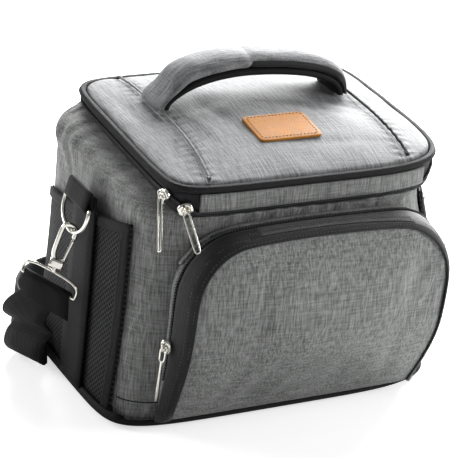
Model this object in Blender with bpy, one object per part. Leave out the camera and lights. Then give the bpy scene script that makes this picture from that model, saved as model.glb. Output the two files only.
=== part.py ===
"""A padded travel bag with a zipped lid, a front pocket, two mesh side pockets and a clip-on strap.

Metres, +Z up. X runs across the bag, the front pocket faces -Y, and the origin is on the floor
under the middle of the base. The lid is closed and both zips are shut.
"""
import math

import bmesh
import bpy
import numpy as np
from mathutils import Matrix, Vector

# driving dimensions of the main forms
LID_LEFT = 0.138           # the lid's border from the middle, left and right
LID_RIGHT = 0.134
LID_DEPTH = 0.229          # lid border, front to back
LID_SHIFT_Y = -0.001       # the lid's centre against the base's
LID_FRONT_Z = 0.221        # lid border above the floor, at the front
LID_BACK_Z = 0.240         # and at the back
LID_CROWN = 0.015          # how far the padded lid stands over its border
LID_THICKNESS = 0.007
BODY_SPREAD = (0.040, 0.011)    # how much wider and deeper the body is than the lid
BODY_WIDTH = LID_LEFT + LID_RIGHT + BODY_SPREAD[0]
BODY_DEPTH = LID_DEPTH + BODY_SPREAD[1]
WALL = 0.006               # padded wall
FLOOR_THICKNESS = 0.007
SQUARENESS = 7.0           # higher is squarer in plan
LID_SQUARE = (9.0, 7.0, 4.2)        # left, right at the back, right at the front
OUTLINE_POINTS = 50

# gaps and cloth
GAP = 0.0003               # between flat touching pieces
SEAT = 0.0006              # between curved touching pieces
CLOTH = 0.0014
WEBBING = 0.0018

# lid rim
PIPING_RADIUS = 0.0029
ZIP_BAND_HEIGHT = 0.0105
ZIP_BAND_WALL = 0.0034
ZIP_BAND_INSET = 0.0012
ZIP_BAND_LIFT = 0.0014     # the band's lower edge over the body's rim
FRONT_DIP = 0.0095         # the body's rim is this much lower along the front
COIL_RADIUS = 0.0011
STRIP_HEIGHT = 0.0155
STRIP_LEFT = 0.118         # the front strip's ends, from the middle
STRIP_RIGHT = 0.104
LID_SEAM_X = 0.095
LID_SEAM_RADIUS = 0.0013
LID_SEAM_BOW = 0.010       # how far each seam spreads at the front
LID_SEAM_INSET = 0.010     # its ends, from the lid's border
LID_CHANNEL = 0.008        # half width of the hollow along a seam

# handle
HANDLE_WIDTH = 0.042
HANDLE_THICKNESS = 0.0145
HANDLE_RISE = 0.0255       # of its underside over the lid
HANDLE_Y = 0.027
HANDLE_WEBBING_WIDTH = 0.034
HANDLE_WEBBING = 0.0030    # thickness of the webbing under the grip
HANDLE_INSET = 0.012       # the handle's feet, inside the seams

# leather patch
PATCH_SIZE = (0.060, 0.042)
PATCH_CENTRE = (-0.008, -0.048)
PATCH_THICKNESS = 0.002
PATCH_CORNER = 0.005

# front pocket
POCKET_LEFT = 0.139
POCKET_RIGHT = 0.121
POCKET_TOP = 0.184
POCKET_BOTTOM = 0.0092
POCKET_CORNER = 0.058
POCKET_LEAN = 0.016        # its left edge leans in by this share of its width
POCKET_DEPTH = 0.034
POCKET_CROWN = 0.012
POCKET_SEAT = 0.0009        # its edge off the body's wall
POCKET_WALL = 0.0035
BAND_THICKNESS = 0.0012

# side pockets and webbing
MESH_FRONT = -0.083
MESH_BACK = 0.088
MESH_FRONT_TOP = 0.181
MESH_BACK_TOP = 0.151
MESH_BOTTOM = 0.012
MESH_BULGE = 0.007
MESH_BINDING = 0.009
STRAP_WIDTH = 0.045
STRAP_THICKNESS = 0.0018
STRAP_LEFT_Y = -0.014      # middle of the side webbing
STRAP_RIGHT_Y = 0.008
WEBBING_TOP = 0.187
WEBBING_BOTTOM = 0.0095
BINDING = 0.0010           # thickness of the mesh pocket's binding
BINDING_LIFT = 0.0010      # and its inner face over the mesh
BASE_BINDING = 0.0024      # radius of the bound edge round the base

# strap hardware
RING_WIRE = 0.0019
RING_CLEARANCE = 0.0004     # inside the tab's loop
RING_PLAY = 0.0012          # beside the tab
RING_HEIGHT = 0.027
RING_BAR_Z = 0.1775
TAB_RISE = 0.013
RING_LEG = 0.009           # the D-ring's straight legs, and the bend over them
RING_BEND = 0.003
HOOK_WIRE = 0.0022
HOOK_LENGTH = 0.035
HOOK_REACH = 0.080         # the hook and its loop hang within this depth under the ring's bar
HOOK_HALF_WIDTH = 0.0062
HOOK_BASE = (0.0125, 0.0090, 0.0070)
NOSE = 0.0060              # how far the hook's nose comes down past the D-ring
GATE_THICKNESS = 0.0026
GATE_PIN = (0.0040, 0.0315)
GATE_SLOT_START = 0.0006
SWIVEL_RADIUS = 0.0021
BORE_DEPTH = 0.0022
PIN_RADIUS = 0.0009
PIN_CLEARANCE = 0.0003
LOOP_WIRE = 0.0015
LOOP_HEIGHT = 0.018
LOOP_PLAY = 0.0025         # beside the strap
LOOP_YAW = -46.0           # the wire loop's width direction on the left, from +X
HOOK_TURN = 30.0           # the hook's flat is turned this far from square to the wall
HOOK_LEAN = (0.32, 0.03)   # the hook hangs this share of its length out and back
LOOP_LEAN = (0.10, 0.45)
LOOP_DROP = 0.0045         # from the hook's length to the loop's top bar

# zip sliders and pullers
SLIDER_SIZE = (0.0105, 0.0085, 0.0030)
SLIDER_NOSE = 0.62         # share of its height left at its ends
ARCH_WIRE = 0.0008
ARCH_HEIGHT = 0.0060
ARCH_REACH = 0.0040
PULLER_WIDTH = 0.0068
PULLER_WIRE = 0.0009
PULLER_CLEARANCE = 0.0005  # a hanging puller keeps at least this off the body's walls
NEEDLE_LOOP = 0.0120

# body sections: height share of the rim, then the reach of each side as a share of half the
# body's width or depth, and the squareness as a share
BODY_SECTIONS = [
    # height, left, right, front, back, squareness
    (0.000, 1.085, 0.925, 0.858, 0.955, 0.95),
    (0.022, 1.120, 0.950, 0.892, 0.985, 1.00),
    (0.250, 1.075, 0.955, 0.925, 1.010, 1.00),
    (0.500, 1.050, 0.930, 0.935, 1.020, 0.95),
    (0.700, 1.045, 0.885, 0.935, 1.015, 0.90),
    (0.830, 1.045, 0.838, 0.940, 1.005, 0.85),
    (0.900, 1.042, 0.824, 0.945, 0.990, 0.82),
    (0.950, 1.038, 0.826, 0.950, 0.976, 0.78),
    (0.980, 1.005, 0.838, 0.9575, 0.962, 0.82),
]
BODY_SQUARE = (SQUARENESS, SQUARENESS, 0.62 * SQUARENESS)

# soft dents of the body: middle angle round the outline, height share, half widths in degrees
# and in height share, depth as a share of the wall
BODY_DENTS = [
    # angle, height, spread, tall, depth
    (150.0, 0.930, 5.0, 0.050, 0.55),
    (163.0, 0.900, 4.0, 0.060, 0.45),
    (140.0, 0.880, 4.0, 0.070, 0.40),
    (30.0, 0.900, 6.0, 0.060, 0.45),
    (335.0, 0.850, 7.0, 0.120, 0.35),
    (90.0, 0.550, 22.0, 0.200, 0.60),
]

# the pocket's side view: height share of the pocket, depth share
POCKET_PROFILE = [
    (0.00, 0.13),
    (0.12, 0.42),
    (0.30, 0.78),
    (0.50, 0.98),
    (0.70, 1.03),
    (0.88, 0.98),
    (1.00, 0.88),
]

# folds of the pocket's front panel: place across and up as shares, direction in degrees,
# half length and half width as shares of the pocket's height, depth as a share of its wall
POCKET_FOLDS = [
    # across, up, turn, length, width, depth
    (0.86, 0.74, 35.0, 0.16, 0.050, 0.75),
    (0.90, 0.60, 20.0, 0.14, 0.050, 0.60),
    (0.20, 0.30, 80.0, 0.22, 0.060, 0.45),
    (0.52, 0.12, 5.0, 0.30, 0.050, 0.45),
]

# the strap's route from its wire loop to the middle of the back, for one side: how far out of
# the side webbing, place along Y from its middle, height, yaw and rise of its width in degrees
STRAP_ROUTE = [
    # out, along, height, yaw, rise
    (0.0189, 0.0175, 0.0865, -46.0, 0.0),
    (0.0254, 0.0270, 0.0765, -50.0, 0.0),
    (0.0309, 0.0345, 0.0655, -54.0, 0.0),
    (0.0309, 0.0385, 0.0545, -57.0, 0.0),
    (0.0229, 0.0410, 0.0470, -60.0, 0.0),
    (0.0195, 0.0430, 0.0410, -62.0, 0.0),
    (0.0244, 0.0450, 0.0345, -64.0, 0.0),
    (0.0264, 0.0475, 0.0275, -65.0, 0.0),
    (0.0270, 0.0510, 0.0170, -67.0, 0.0),
    (0.0219, 0.0540, 0.0083, -68.0, 0.0),
    (0.0149, 0.0580, 0.0056, -71.0, 6.0),
    (0.0104, 0.0700, 0.0130, -76.0, 28.0),
    (0.0084, 0.0880, 0.0196, -80.0, 52.0),
    (0.0079, 0.1080, 0.0236, -85.0, 74.0),
    (0.0054, 0.1300, 0.0242, -80.0, 83.0),
    (-0.0086, 0.1550, 0.0242, -45.0, 84.0),
    (-0.0366, 0.1740, 0.0242, -20.0, 84.0),
    (-0.0886, 0.1840, 0.0242, -6.0, 84.0),
]
STRAP_ANCHOR_Z = 0.050     # the webbing's reach is taken from this height up
STRAP_BACK_BOW = 0.003     # the route's middle, behind the two halves' last points
STRAP_TAIL = 0.020         # the sewn end, down from the wire loop's bar
STRAP_STEP = 0.016         # longest stretch of strap between two sections

# the zips' sliders and pullers: each lid slider's place as an angle round the lid from its front
# left corner, the tilt of the slider and the puller's swing off it in degrees, and its length
SLIDERS = [
    # name, angle, tilt, swing, length
    ("side", -5.2, -19.0, 12.5, 0.047),
    ("front", 1.2, -25.0, 22.0, 0.037),
]
# the pocket's: its point of the outline, its turn to the front and lift off the coil, tilt,
# swing and length
POCKET_SLIDER = (2, 30.0, 0.0022, 2.0, 5.0, 0.048)


def material(name, colour, roughness=0.8, metallic=0.0):
    """A plain Principled material."""
    made = bpy.data.materials.new(name)
    made.use_nodes = True
    shader = made.node_tree.nodes["Principled BSDF"]
    shader.inputs["Base Color"].default_value = (*colour, 1.0)
    shader.inputs["Roughness"].default_value = roughness
    shader.inputs["Metallic"].default_value = metallic
    return made


def add_object(name, mesh, finish):
    """Links a mesh to the scene as one named sub-part."""
    mesh.materials.append(finish)
    made = bpy.data.objects.new(name, mesh)
    bpy.context.scene.collection.objects.link(made)
    return made


def loft(name, rings, finish, closed=False, smooth=True):
    """Joins equal rings of points into one closed skin, with caps unless the run is closed."""
    shape = bmesh.new()
    loops = [[shape.verts.new(point) for point in ring] for ring in rings]
    count = len(loops[0])
    pairs = list(zip(loops, loops[1:]))
    if closed:
        pairs.append((loops[-1], loops[0]))
    for first, second in pairs:
        for i in range(count):
            j = (i + 1) % count
            shape.faces.new((first[i], first[j], second[j], second[i]))
    if not closed:
        shape.faces.new(loops[0])
        shape.faces.new(list(reversed(loops[-1])))
    bmesh.ops.recalc_face_normals(shape, faces=shape.faces)
    mesh = bpy.data.meshes.new(name)
    shape.to_mesh(mesh)
    shape.free()
    if smooth:
        mesh.shade_smooth()
        mesh.set_sharp_from_angle(angle=math.radians(40))
    return add_object(name, mesh, finish)


def tube(name, points, radius, finish, cyclic=False, resolution=1):
    """A round wire along the points, with 2 * (resolution + 2) sides."""
    curve = bpy.data.curves.new(name, "CURVE")
    curve.dimensions = "3D"
    curve.bevel_depth = radius
    curve.bevel_resolution = resolution
    curve.use_fill_caps = True
    spline = curve.splines.new("POLY")
    spline.points.add(len(points) - 1)
    for spot, point in zip(spline.points, points):
        spot.co = (*point, 1.0)
    spline.use_cyclic_u = cyclic
    curve.materials.append(finish)
    made = bpy.data.objects.new(name, curve)
    bpy.context.scene.collection.objects.link(made)
    return made


def smooth_points(points):
    """A smooth curve through rows of numbers, the first three of which are a place."""
    rows = np.array(points, float)
    ends = np.vstack([2 * rows[0] - rows[1], rows, 2 * rows[-1] - rows[-2]])
    line = []
    for i in range(1, len(ends) - 2):
        before, start, end, after = ends[i - 1:i + 3]
        steps = max(2, math.ceil(np.linalg.norm(end[:3] - start[:3]) / STRAP_STEP))
        for t in np.linspace(0, 1, steps, endpoint=False):
            line.append(0.5 * (2 * start + (end - before) * t
                               + (2 * before - 5 * start + 4 * end - after) * t ** 2
                               + (3 * start - before - 3 * end + after) * t ** 3))
    return line + [rows[-1]]


def from_table(table, share):
    """Reads a table whose first column rises, between its rows."""
    rows = np.array(table)
    return [float(np.interp(share, rows[:, 0], rows[:, i])) for i in range(1, rows.shape[1])]


def superellipse(left, right, front, back, squareness, count):
    """An outline whose points crowd into its corners, counter-clockwise from +X.

    The squareness is given for the left, for the right at the back and for the right in front.
    """
    turn = np.linspace(0, 2 * math.pi, 1441)
    cos, sin = np.cos(turn), np.sin(turn)
    on_left, at_back, at_front = squareness
    power = 2 / np.where(cos < 0, on_left, np.where(sin > 0, at_back, at_front))
    x = np.sign(cos) * np.abs(cos) ** power * np.where(cos > 0, right, left)
    y = np.sign(sin) * np.abs(sin) ** power * np.where(sin > 0, back, front)
    dx, dy = np.diff(x), np.diff(y)
    heading = np.unwrap(np.arctan2(dy, dx))
    bend = np.abs(np.diff(heading, prepend=heading[0]))
    corner_weight = 0.25 * (left + right)
    measure = np.r_[0, np.cumsum(np.hypot(dx, dy) + corner_weight * bend)]
    wanted = np.linspace(0, measure[-1], count, endpoint=False)
    return [(float(a), float(b)) for a, b in zip(np.interp(wanted, measure, x),
                                                 np.interp(wanted, measure, y))]


def lid_z(y):
    """Height of the lid's border plane at y."""
    front = LID_SHIFT_Y - LID_DEPTH / 2
    return LID_FRONT_Z + (LID_BACK_Z - LID_FRONT_Z) * (y - front) / LID_DEPTH


RIM_DROP = 2 * PIPING_RADIUS + ZIP_BAND_HEIGHT + ZIP_BAND_LIFT


def front_blend(y):
    """Rises from 0 along the sides to 1 along the front."""
    share = ((LID_SHIFT_Y - y) / (LID_DEPTH / 2) - 0.58) / 0.36
    share = min(max(share, 0.0), 1.0)
    return share * share * (3 - 2 * share)


def rim_z(y):
    """Height of the body's top rim at y."""
    return lid_z(y) - RIM_DROP - FRONT_DIP * front_blend(y)


def lid_outline(grow=0.0, count=OUTLINE_POINTS):
    """The lid's border in plan, grown outwards by a distance."""
    half_depth = LID_DEPTH / 2 + grow
    spots = superellipse(LID_LEFT + grow, LID_RIGHT + grow, half_depth, half_depth, LID_SQUARE,
                         count)
    return [(x, y + LID_SHIFT_Y) for x, y in spots]


def body_reach(share):
    """Left, right, front and back reach of the body at a height share, and its squareness."""
    if share >= BODY_SECTIONS[-1][0]:
        low = body_reach(BODY_SECTIONS[-1][0] - 1e-9)
        rim = (LID_LEFT, LID_RIGHT, LID_DEPTH / 2 - LID_SHIFT_Y,
               LID_DEPTH / 2 + LID_SHIFT_Y, *LID_SQUARE)
        start = BODY_SECTIONS[-1][0]
        blend = min((share - start) / (1 - start), 1.0)
        return [a + (b - a) * blend for a, b in zip(low, rim)]
    left, right, front, back, square = from_table(BODY_SECTIONS, share)
    return [left * BODY_WIDTH / 2, right * BODY_WIDTH / 2, front * BODY_DEPTH / 2,
            back * BODY_DEPTH / 2, *(square * value for value in BODY_SQUARE)]


def side_x(side, y, z):
    """Where the body's side wall is at y and z; side is -1 left, 1 right."""
    left, right, front, back, on_left, at_back, at_front = body_reach(z / rim_z(y))
    square = on_left if side < 0 else (at_back if y > 0 else at_front)
    share = min(abs(y) / (back if y > 0 else front), 0.999)
    return side * (left if side < 0 else right) * (1 - share ** square) ** (1 / square)


def front_y(x, z):
    """Where the body's front wall is at x and z."""
    left, right, front, _, on_left, _, at_front = body_reach(z / rim_z(-BODY_DEPTH / 2))
    square = at_front if x > 0 else on_left
    share = min(abs(x) / (right if x > 0 else left), 0.999)
    return -front * (1 - share ** square) ** (1 / square)


def off_wall(point):
    """How far a point is outside the body's wall, seen from the body's middle."""
    left, right, front, back, on_left, at_back, at_front = body_reach(point.z / rim_z(point.y))
    square = on_left if point.x < 0 else (at_back if point.y > 0 else at_front)
    across = abs(point.x) / (left if point.x < 0 else right)
    along = abs(point.y) / (back if point.y > 0 else front)
    share = (across ** square + along ** square) ** (1 / square)
    return math.hypot(point.x, point.y) * (1 - 1 / share)


def body_dent(turn, share):
    """Depth of the body's soft dents at an angle round it and a height share."""
    depth = 0.0
    for angle, height, spread, tall, amount in BODY_DENTS:
        away = (turn - angle + 180) % 360 - 180
        depth += WALL * amount * math.exp(-(away / spread) ** 2 - ((share - height) / tall) ** 2)
    return depth


def body_ring(share, inset, floor=0.0):
    """One ring of the body, as points; inset walls stand off the padded floor."""
    left, right, front, back, *square = body_reach(share)
    spots = superellipse(left - inset, right - inset, front - inset, back - inset, square,
                         OUTLINE_POINTS)
    ring = []
    for x, y in spots:
        dent = body_dent(math.degrees(math.atan2(y, x)), share) / math.hypot(x, y)
        x, y = x * (1 - dent), y * (1 - dent)
        ring.append(Vector((x, y, max(share * rim_z(y), floor))))
    return ring


def make_body(finish):
    """The padded box, open at the top under the lid."""
    levels = [row[0] for row in BODY_SECTIONS] + [1.0]
    outer = [body_ring(share, 0.0) for share in levels]
    inner_levels = [1.0, 0.93, 0.83, 0.5, 0.12]
    inner = [body_ring(share, WALL, FLOOR_THICKNESS) for share in inner_levels]
    inner.append([Vector((v.x, v.y, FLOOR_THICKNESS)) for v in body_ring(0.022, 2 * WALL)])
    return loft("body_shell", outer + inner, finish)


def make_base_binding(finish):
    """The bound edge round the base."""
    radius = BASE_BINDING
    share = BODY_SECTIONS[1][0]
    left, right, front, back, *square = body_reach(share)
    out = radius + SEAT
    spots = superellipse(left + out, right + out, front + out, back + out, square, OUTLINE_POINTS)
    points = [(x, y, share * rim_z(y) + radius / 2) for x, y in spots]
    return tube("base_binding", points, radius, finish, cyclic=True, resolution=0)


def lid_rise(x, y):
    """How far the lid's padded top stands over its border plane."""
    across = min(abs(x) / (LID_LEFT if x < 0 else LID_RIGHT), 1.0)
    along = min(abs(y - LID_SHIFT_Y) / (LID_DEPTH / 2), 1.0)
    channel = math.exp(-((abs(x) - LID_SEAM_X) / LID_CHANNEL) ** 2)
    crown = LID_CROWN * (1 - across ** 2.6) * (1 - along ** 2.6)
    return crown * (1 - 0.14 * channel)


def lid_top(x, y):
    """Height of the lid's top at x, y."""
    return lid_z(y) + lid_rise(x, y)


def make_lid(finish):
    """The crowned, padded lid panel inside its piping."""
    inset = PIPING_RADIUS + SEAT
    edge = lid_outline(-inset)

    def ring(share, drop):
        spots = [(x * share, LID_SHIFT_Y + (y - LID_SHIFT_Y) * share) for x, y in edge]
        return [Vector((x, y, lid_top(x, y) - drop)) for x, y in spots]

    under = LID_THICKNESS
    rings = [ring(share, under) for share in (0.08, 0.50, 0.84, 0.97)]
    rings += [ring(1.0, under - 0.0015), ring(1.0, 0.001)]
    rings += [ring(share, 0.0) for share in (0.98, 0.88, 0.72, 0.50, 0.26, 0.07)]
    return loft("lid_panel", rings, finish)


def make_lid_rim(piping, tape, coil, cloth):
    """The lid's piping, the zip's band under it, its coil and the grey strip over the front."""
    points = [(x, y, lid_z(y) - PIPING_RADIUS) for x, y in lid_outline()]
    tube("lid_piping", points, PIPING_RADIUS, piping, cyclic=True)

    top = 2 * PIPING_RADIUS + GAP + SEAT
    outer, inner = lid_outline(-ZIP_BAND_INSET), lid_outline(-ZIP_BAND_INSET - ZIP_BAND_WALL)
    rings = []
    for (x0, y0), (x1, y1) in zip(outer, inner):
        low = rim_z(y0) + ZIP_BAND_LIFT
        rings.append([Vector((x0, y0, lid_z(y0) - top)), Vector((x0, y0, low)),
                      Vector((x1, y1, low)), Vector((x1, y1, lid_z(y1) - top))])
    loft("zip_band", rings, tape, closed=True)

    points = [coil_point(x, y) for x, y in lid_outline()]
    tube("lid_zip", points, COIL_RADIUS, coil, cyclic=True, resolution=0)

    rings = []
    spots = sorted((x, y) for x, y in lid_outline(0.0, 160) if y < 0)
    for x, y in spots:
        if not -STRIP_LEFT < x < STRIP_RIGHT:
            continue
        out = Vector((x, y - LID_SHIFT_Y, 0)).normalized()
        push = Vector((out.x * 0.2, out.y, 0)).normalized()
        near, far = PIPING_RADIUS - CLOTH, PIPING_RADIUS
        low = lid_z(y) - 2 * PIPING_RADIUS - STRIP_HEIGHT
        high = lid_z(y) - 2 * PIPING_RADIUS - GAP
        base = Vector((x, y, 0))
        rings.append([base + push * near + Vector((0, 0, low)),
                      base + push * far + Vector((0, 0, low)),
                      base + push * far + Vector((0, 0, high)),
                      base + push * near + Vector((0, 0, high))])
    loft("lid_front_strip", rings, cloth)


def coil_point(x, y):
    """The zip coil's middle by the lid's outline: it dips under the front strip."""
    drop_side = 2 * PIPING_RADIUS + ZIP_BAND_HEIGHT / 2
    drop_front = 2 * PIPING_RADIUS + STRIP_HEIGHT + COIL_RADIUS + GAP
    reach, end = (LID_LEFT, STRIP_LEFT) if x < 0 else (LID_RIGHT, STRIP_RIGHT)
    dip = front_blend(y) * min((reach - abs(x)) / (reach - end), 1.0)
    out = COIL_RADIUS - ZIP_BAND_INSET + GAP
    half_depth = LID_DEPTH / 2
    x *= 1 + out / (LID_LEFT if x < 0 else LID_RIGHT)
    y = LID_SHIFT_Y + (y - LID_SHIFT_Y) * (half_depth + out) / half_depth
    return Vector((x, y, lid_z(y) - drop_side - (drop_front - drop_side) * max(dip, 0.0)))


def make_lid_seams(finish):
    """The two piped seams that run front to back on the lid."""
    reach = LID_DEPTH / 2 - LID_SEAM_INSET
    for name, side in (("lid_seam_left", -1), ("lid_seam_right", 1)):
        points = []
        for y in np.linspace(-reach, reach, 20):
            bow = LID_SEAM_BOW * (y / reach) ** 2 if y < 0 else 0.0
            x = side * (LID_SEAM_X + (-bow if side > 0 else bow))
            y += LID_SHIFT_Y
            points.append((x, y, lid_top(x, y) + LID_SEAM_RADIUS + 2 * SEAT))
        tube(name, points, LID_SEAM_RADIUS, finish)


# the handle's run from the left seam to the right one: place across, height share of the rise,
# thickness share, width share
HANDLE_SECTIONS = [
    # across, height, thickness, width
    (-1.000, 0.00, 0.42, 1.06),
    (-0.990, 0.18, 0.55, 1.04),
    (-0.960, 0.42, 0.80, 1.00),
    (-0.890, 0.66, 0.98, 0.98),
    (-0.780, 0.80, 1.04, 0.96),
    (-0.600, 0.91, 1.04, 0.95),
    (-0.400, 0.98, 1.02, 0.95),
    (-0.200, 1.00, 1.00, 0.95),
    (0.000, 0.98, 1.00, 0.95),
    (0.200, 0.94, 1.00, 0.95),
    (0.400, 0.88, 1.02, 0.95),
    (0.600, 0.79, 1.04, 0.95),
    (0.780, 0.66, 1.04, 0.96),
    (0.890, 0.51, 0.98, 0.98),
    (0.955, 0.32, 0.80, 1.00),
    (0.988, 0.14, 0.55, 1.02),
    (1.000, 0.00, 0.42, 1.04),
]
HANDLE_FOOT_LIFT = 2 * SEAT


def handle_line():
    """The handle's middle line and its size shares."""
    reach = LID_SEAM_X - HANDLE_INSET
    rows = []
    for across, height, thick, wide in HANDLE_SECTIONS:
        x = across * reach
        foot = lid_top(x, HANDLE_Y) + HANDLE_FOOT_LIFT
        rows.append((x, foot + height * HANDLE_RISE, thick, wide))
    return rows


def make_handle(cloth, webbing):
    """The padded grip and the black webbing under it."""
    line = handle_line()
    grip, strap = [], []
    for i, (x, z, thick, wide) in enumerate(line):
        before, after = line[max(i - 1, 0)], line[min(i + 1, len(line) - 1)]
        run = Vector((after[0] - before[0], 0, after[1] - before[1])).normalized()
        up = Vector((-run.z, 0, run.x))
        if i in (0, len(line) - 1):
            run, up = Vector((0, 0, 1)), Vector((-1 if i == 0 else 1, 0, 0))
        half = HANDLE_WIDTH / 2 * wide
        tall = HANDLE_THICKNESS * thick
        base = Vector((x, HANDLE_Y, z))
        section = [(-0.86, 0.0), (-1.0, 0.22), (-0.97, 0.56), (-0.74, 0.86), (-0.36, 1.0),
                   (0.36, 1.0), (0.74, 0.86), (0.97, 0.56), (1.0, 0.22), (0.86, 0.0)]
        grip.append([base + Vector((0, across * half, 0)) + up * (rise * tall)
                     for across, rise in section])
        half = HANDLE_WEBBING_WIDTH / 2
        near, far = -SEAT, -SEAT - HANDLE_WEBBING
        strap.append([base + Vector((0, across * half, 0)) + up * rise
                      for across, rise in ((-1, near), (-1, far), (1, far), (1, near))])
    loft("handle_grip", grip, cloth)
    loft("handle_webbing", strap, webbing)


def make_patch(finish):
    """A plain leather patch with rounded corners, lying on the lid."""
    half = (PATCH_SIZE[0] / 2, PATCH_SIZE[1] / 2)
    spots = []
    for quarter in range(4):
        sx, sy = ((1, 1), (-1, 1), (-1, -1), (1, -1))[quarter]
        for step in range(4):
            turn = math.radians(90 * quarter + 30 * step)
            spots.append((sx * (half[0] - PATCH_CORNER) + PATCH_CORNER * math.cos(turn),
                          sy * (half[1] - PATCH_CORNER) + PATCH_CORNER * math.sin(turn)))
    rings = []
    for grow, lift in ((0.5, 0), (1, 0), (1, PATCH_THICKNESS * 0.7), (0.97, PATCH_THICKNESS),
                       (0.5, PATCH_THICKNESS)):
        ring = []
        for x, y in spots:
            x, y = PATCH_CENTRE[0] + x * grow, PATCH_CENTRE[1] + y * grow
            ring.append(Vector((x, y, lid_top(x, y) + SEAT + lift)))
        rings.append(ring)
    return loft("leather_patch", rings, finish)


def pocket_outline():
    """The pocket's arch in the front view, as shares of its width and height, from the left foot."""
    width, height = POCKET_LEFT + POCKET_RIGHT, POCKET_TOP - POCKET_BOTTOM
    spots = [(0.0, 0.0), (0.3 * POCKET_LEAN, 0.25), (0.8 * POCKET_LEAN, 0.44)]
    for side in (0, 1):
        for step in range(7):
            turn = math.radians(15 * step)
            x = POCKET_CORNER * (1 - math.cos(turn)) / width
            x += POCKET_LEAN * (1 - step / 6) if side == 0 else 0.0
            z = 1 - POCKET_CORNER * (1 - math.sin(turn)) / height
            spots.append((x, z) if side == 0 else (1 - x, z))
        if side == 0:
            spots += [(0.36, 1.012), (0.5, 1.016), (0.64, 1.012)]
            right = len(spots)
    spots[right:] = list(reversed(spots[right:]))
    spots += [(1.0, 0.44), (0.996, 0.25), (0.988, 0.0)]
    return spots


def pocket_point(spot, across_share, depth_share, lift=0.0):
    """A point of the pocket: how near the middle, how far out of the wall, and raised by lift."""
    width, height = POCKET_LEFT + POCKET_RIGHT, POCKET_TOP - POCKET_BOTTOM
    middle = (0.5, 0.45)
    u = middle[0] + (spot[0] - middle[0]) * across_share
    v = middle[1] + (spot[1] - middle[1]) * across_share
    x, z = -POCKET_LEFT + u * width, POCKET_BOTTOM + v * height
    deep = POCKET_DEPTH * from_table(POCKET_PROFILE, v)[0]
    wall = front_y(x, z) - POCKET_SEAT
    flat = -BODY_DEPTH / 2 * BODY_SECTIONS[4][3]
    face = min(flat, wall) - deep
    crown = POCKET_CROWN * (1 - across_share ** 2) * min(v * 2.5, 1.0)
    y = wall + (face - wall) * depth_share - crown - lift
    for fold_u, fold_v, turn, length, breadth, amount in POCKET_FOLDS:
        du, dv = (u - fold_u) * width / height, v - fold_v
        cos, sin = math.cos(math.radians(turn)), math.sin(math.radians(turn))
        along, aside = du * cos + dv * sin, dv * cos - du * sin
        near = math.exp(-(along / length) ** 2 - (aside / breadth) ** 2)
        y += POCKET_WALL * amount * near * (1.0 if across_share < 0.9 else 0.0)
    return Vector((x, y, z))


# the pocket's skin from the wall to the middle of its front: nearness to the middle, depth
POCKET_RINGS = [
    # across, depth
    (0.985, 0.00),
    (1.000, 0.12),
    (1.004, 0.45),
    (0.988, 0.78),
    (0.966, 0.94),
    (0.930, 1.00),
    (0.800, 1.00),
    (0.600, 1.00),
    (0.380, 1.00),
    (0.150, 1.00),
]
# the strips on that skin, each on the same rows or straight between two of them
POCKET_BAND_ROWS = [(1.0016, 0.50), (0.988, 0.78), (0.966, 0.94), (0.930, 1.00)]
POCKET_ZIP_ROWS = [(1.0030, 0.37), (1.0039, 0.445)]
POCKET_GUSSET_ROWS = [(0.990, 0.04), (1.0000, 0.12), (1.0015, 0.24)]


def make_pocket(cloth, band, coil):
    """The bulging front pocket, its black border band, its zip and the grey gusset over it."""
    spots = pocket_outline()
    loop = spots + [(u, 0.0) for u in (0.93, 0.84, 0.72, 0.60, 0.48, 0.36, 0.24, 0.14, 0.06)]
    outer = [[pocket_point(spot, across, depth) for spot in loop]
             for across, depth in POCKET_RINGS]

    def inside(spot, across, depth):
        point = pocket_point(spot, across, depth)
        wall = front_y(point.x, point.z) - POCKET_SEAT
        point.y = min(wall, point.y + (POCKET_WALL if depth else 0.0))
        return point

    inner_shares = [(0.950, 0.0), (0.930, 0.78), (0.880, 1.0), (0.600, 1.0), (0.150, 1.0)]
    inner = []
    for across, depth in inner_shares:
        ring = []
        for u, v in loop:
            ring.append(inside((u, max(v, 0.30)), across, depth))
        inner.append(ring)
    loft("front_pocket", list(reversed(outer)) + inner, cloth)

    def cover(name, first, last, inside_rings, thickness, finish, lift):
        """A strip over the pocket's skin from outline point first to last."""
        rings = []
        for i in range(first, last + 1):
            low = [pocket_normal(spots, i, across, depth, lift) for across, depth in inside_rings]
            high = [pocket_normal(spots, i, across, depth, lift + thickness)
                    for across, depth in inside_rings]
            rings.append(low + list(reversed(high)))
        loft(name, rings, finish)

    last = len(spots) - 1
    lift = 1.5 * SEAT
    cover("pocket_band", 0, last, POCKET_BAND_ROWS, BAND_THICKNESS, band, lift)
    cover("pocket_zip", 1, last - 1, POCKET_ZIP_ROWS, COIL_RADIUS, coil, lift)
    cover("pocket_gusset", 5, last - 5, POCKET_GUSSET_ROWS, CLOTH, cloth, lift)


def pocket_normal(spots, index, across, depth, lift):
    """A point over the pocket's skin, lifted square to it."""
    here = pocket_point(spots[index], across, depth)
    before, after = spots[max(index - 1, 0)], spots[min(index + 1, len(spots) - 1)]
    run = pocket_point(after, across, depth) - pocket_point(before, across, depth)
    turn = 0.02 * max(depth - 0.6, 0)
    ahead = pocket_point(spots[index], across - turn, depth + 0.02)
    behind = pocket_point(spots[index], across + turn, depth - 0.02)
    normal = run.cross(ahead - behind).normalized()
    middle = Vector((0.0, here.y + 0.06, POCKET_TOP / 2))
    if normal.dot(here - middle) < 0:
        normal.negate()
    return here + normal * lift


def mesh_top(y):
    """Height of the mesh pocket's mouth, lower towards the back."""
    share = (y - MESH_FRONT) / (MESH_BACK - MESH_FRONT)
    return MESH_FRONT_TOP + (MESH_BACK_TOP - MESH_FRONT_TOP) * share


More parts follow.
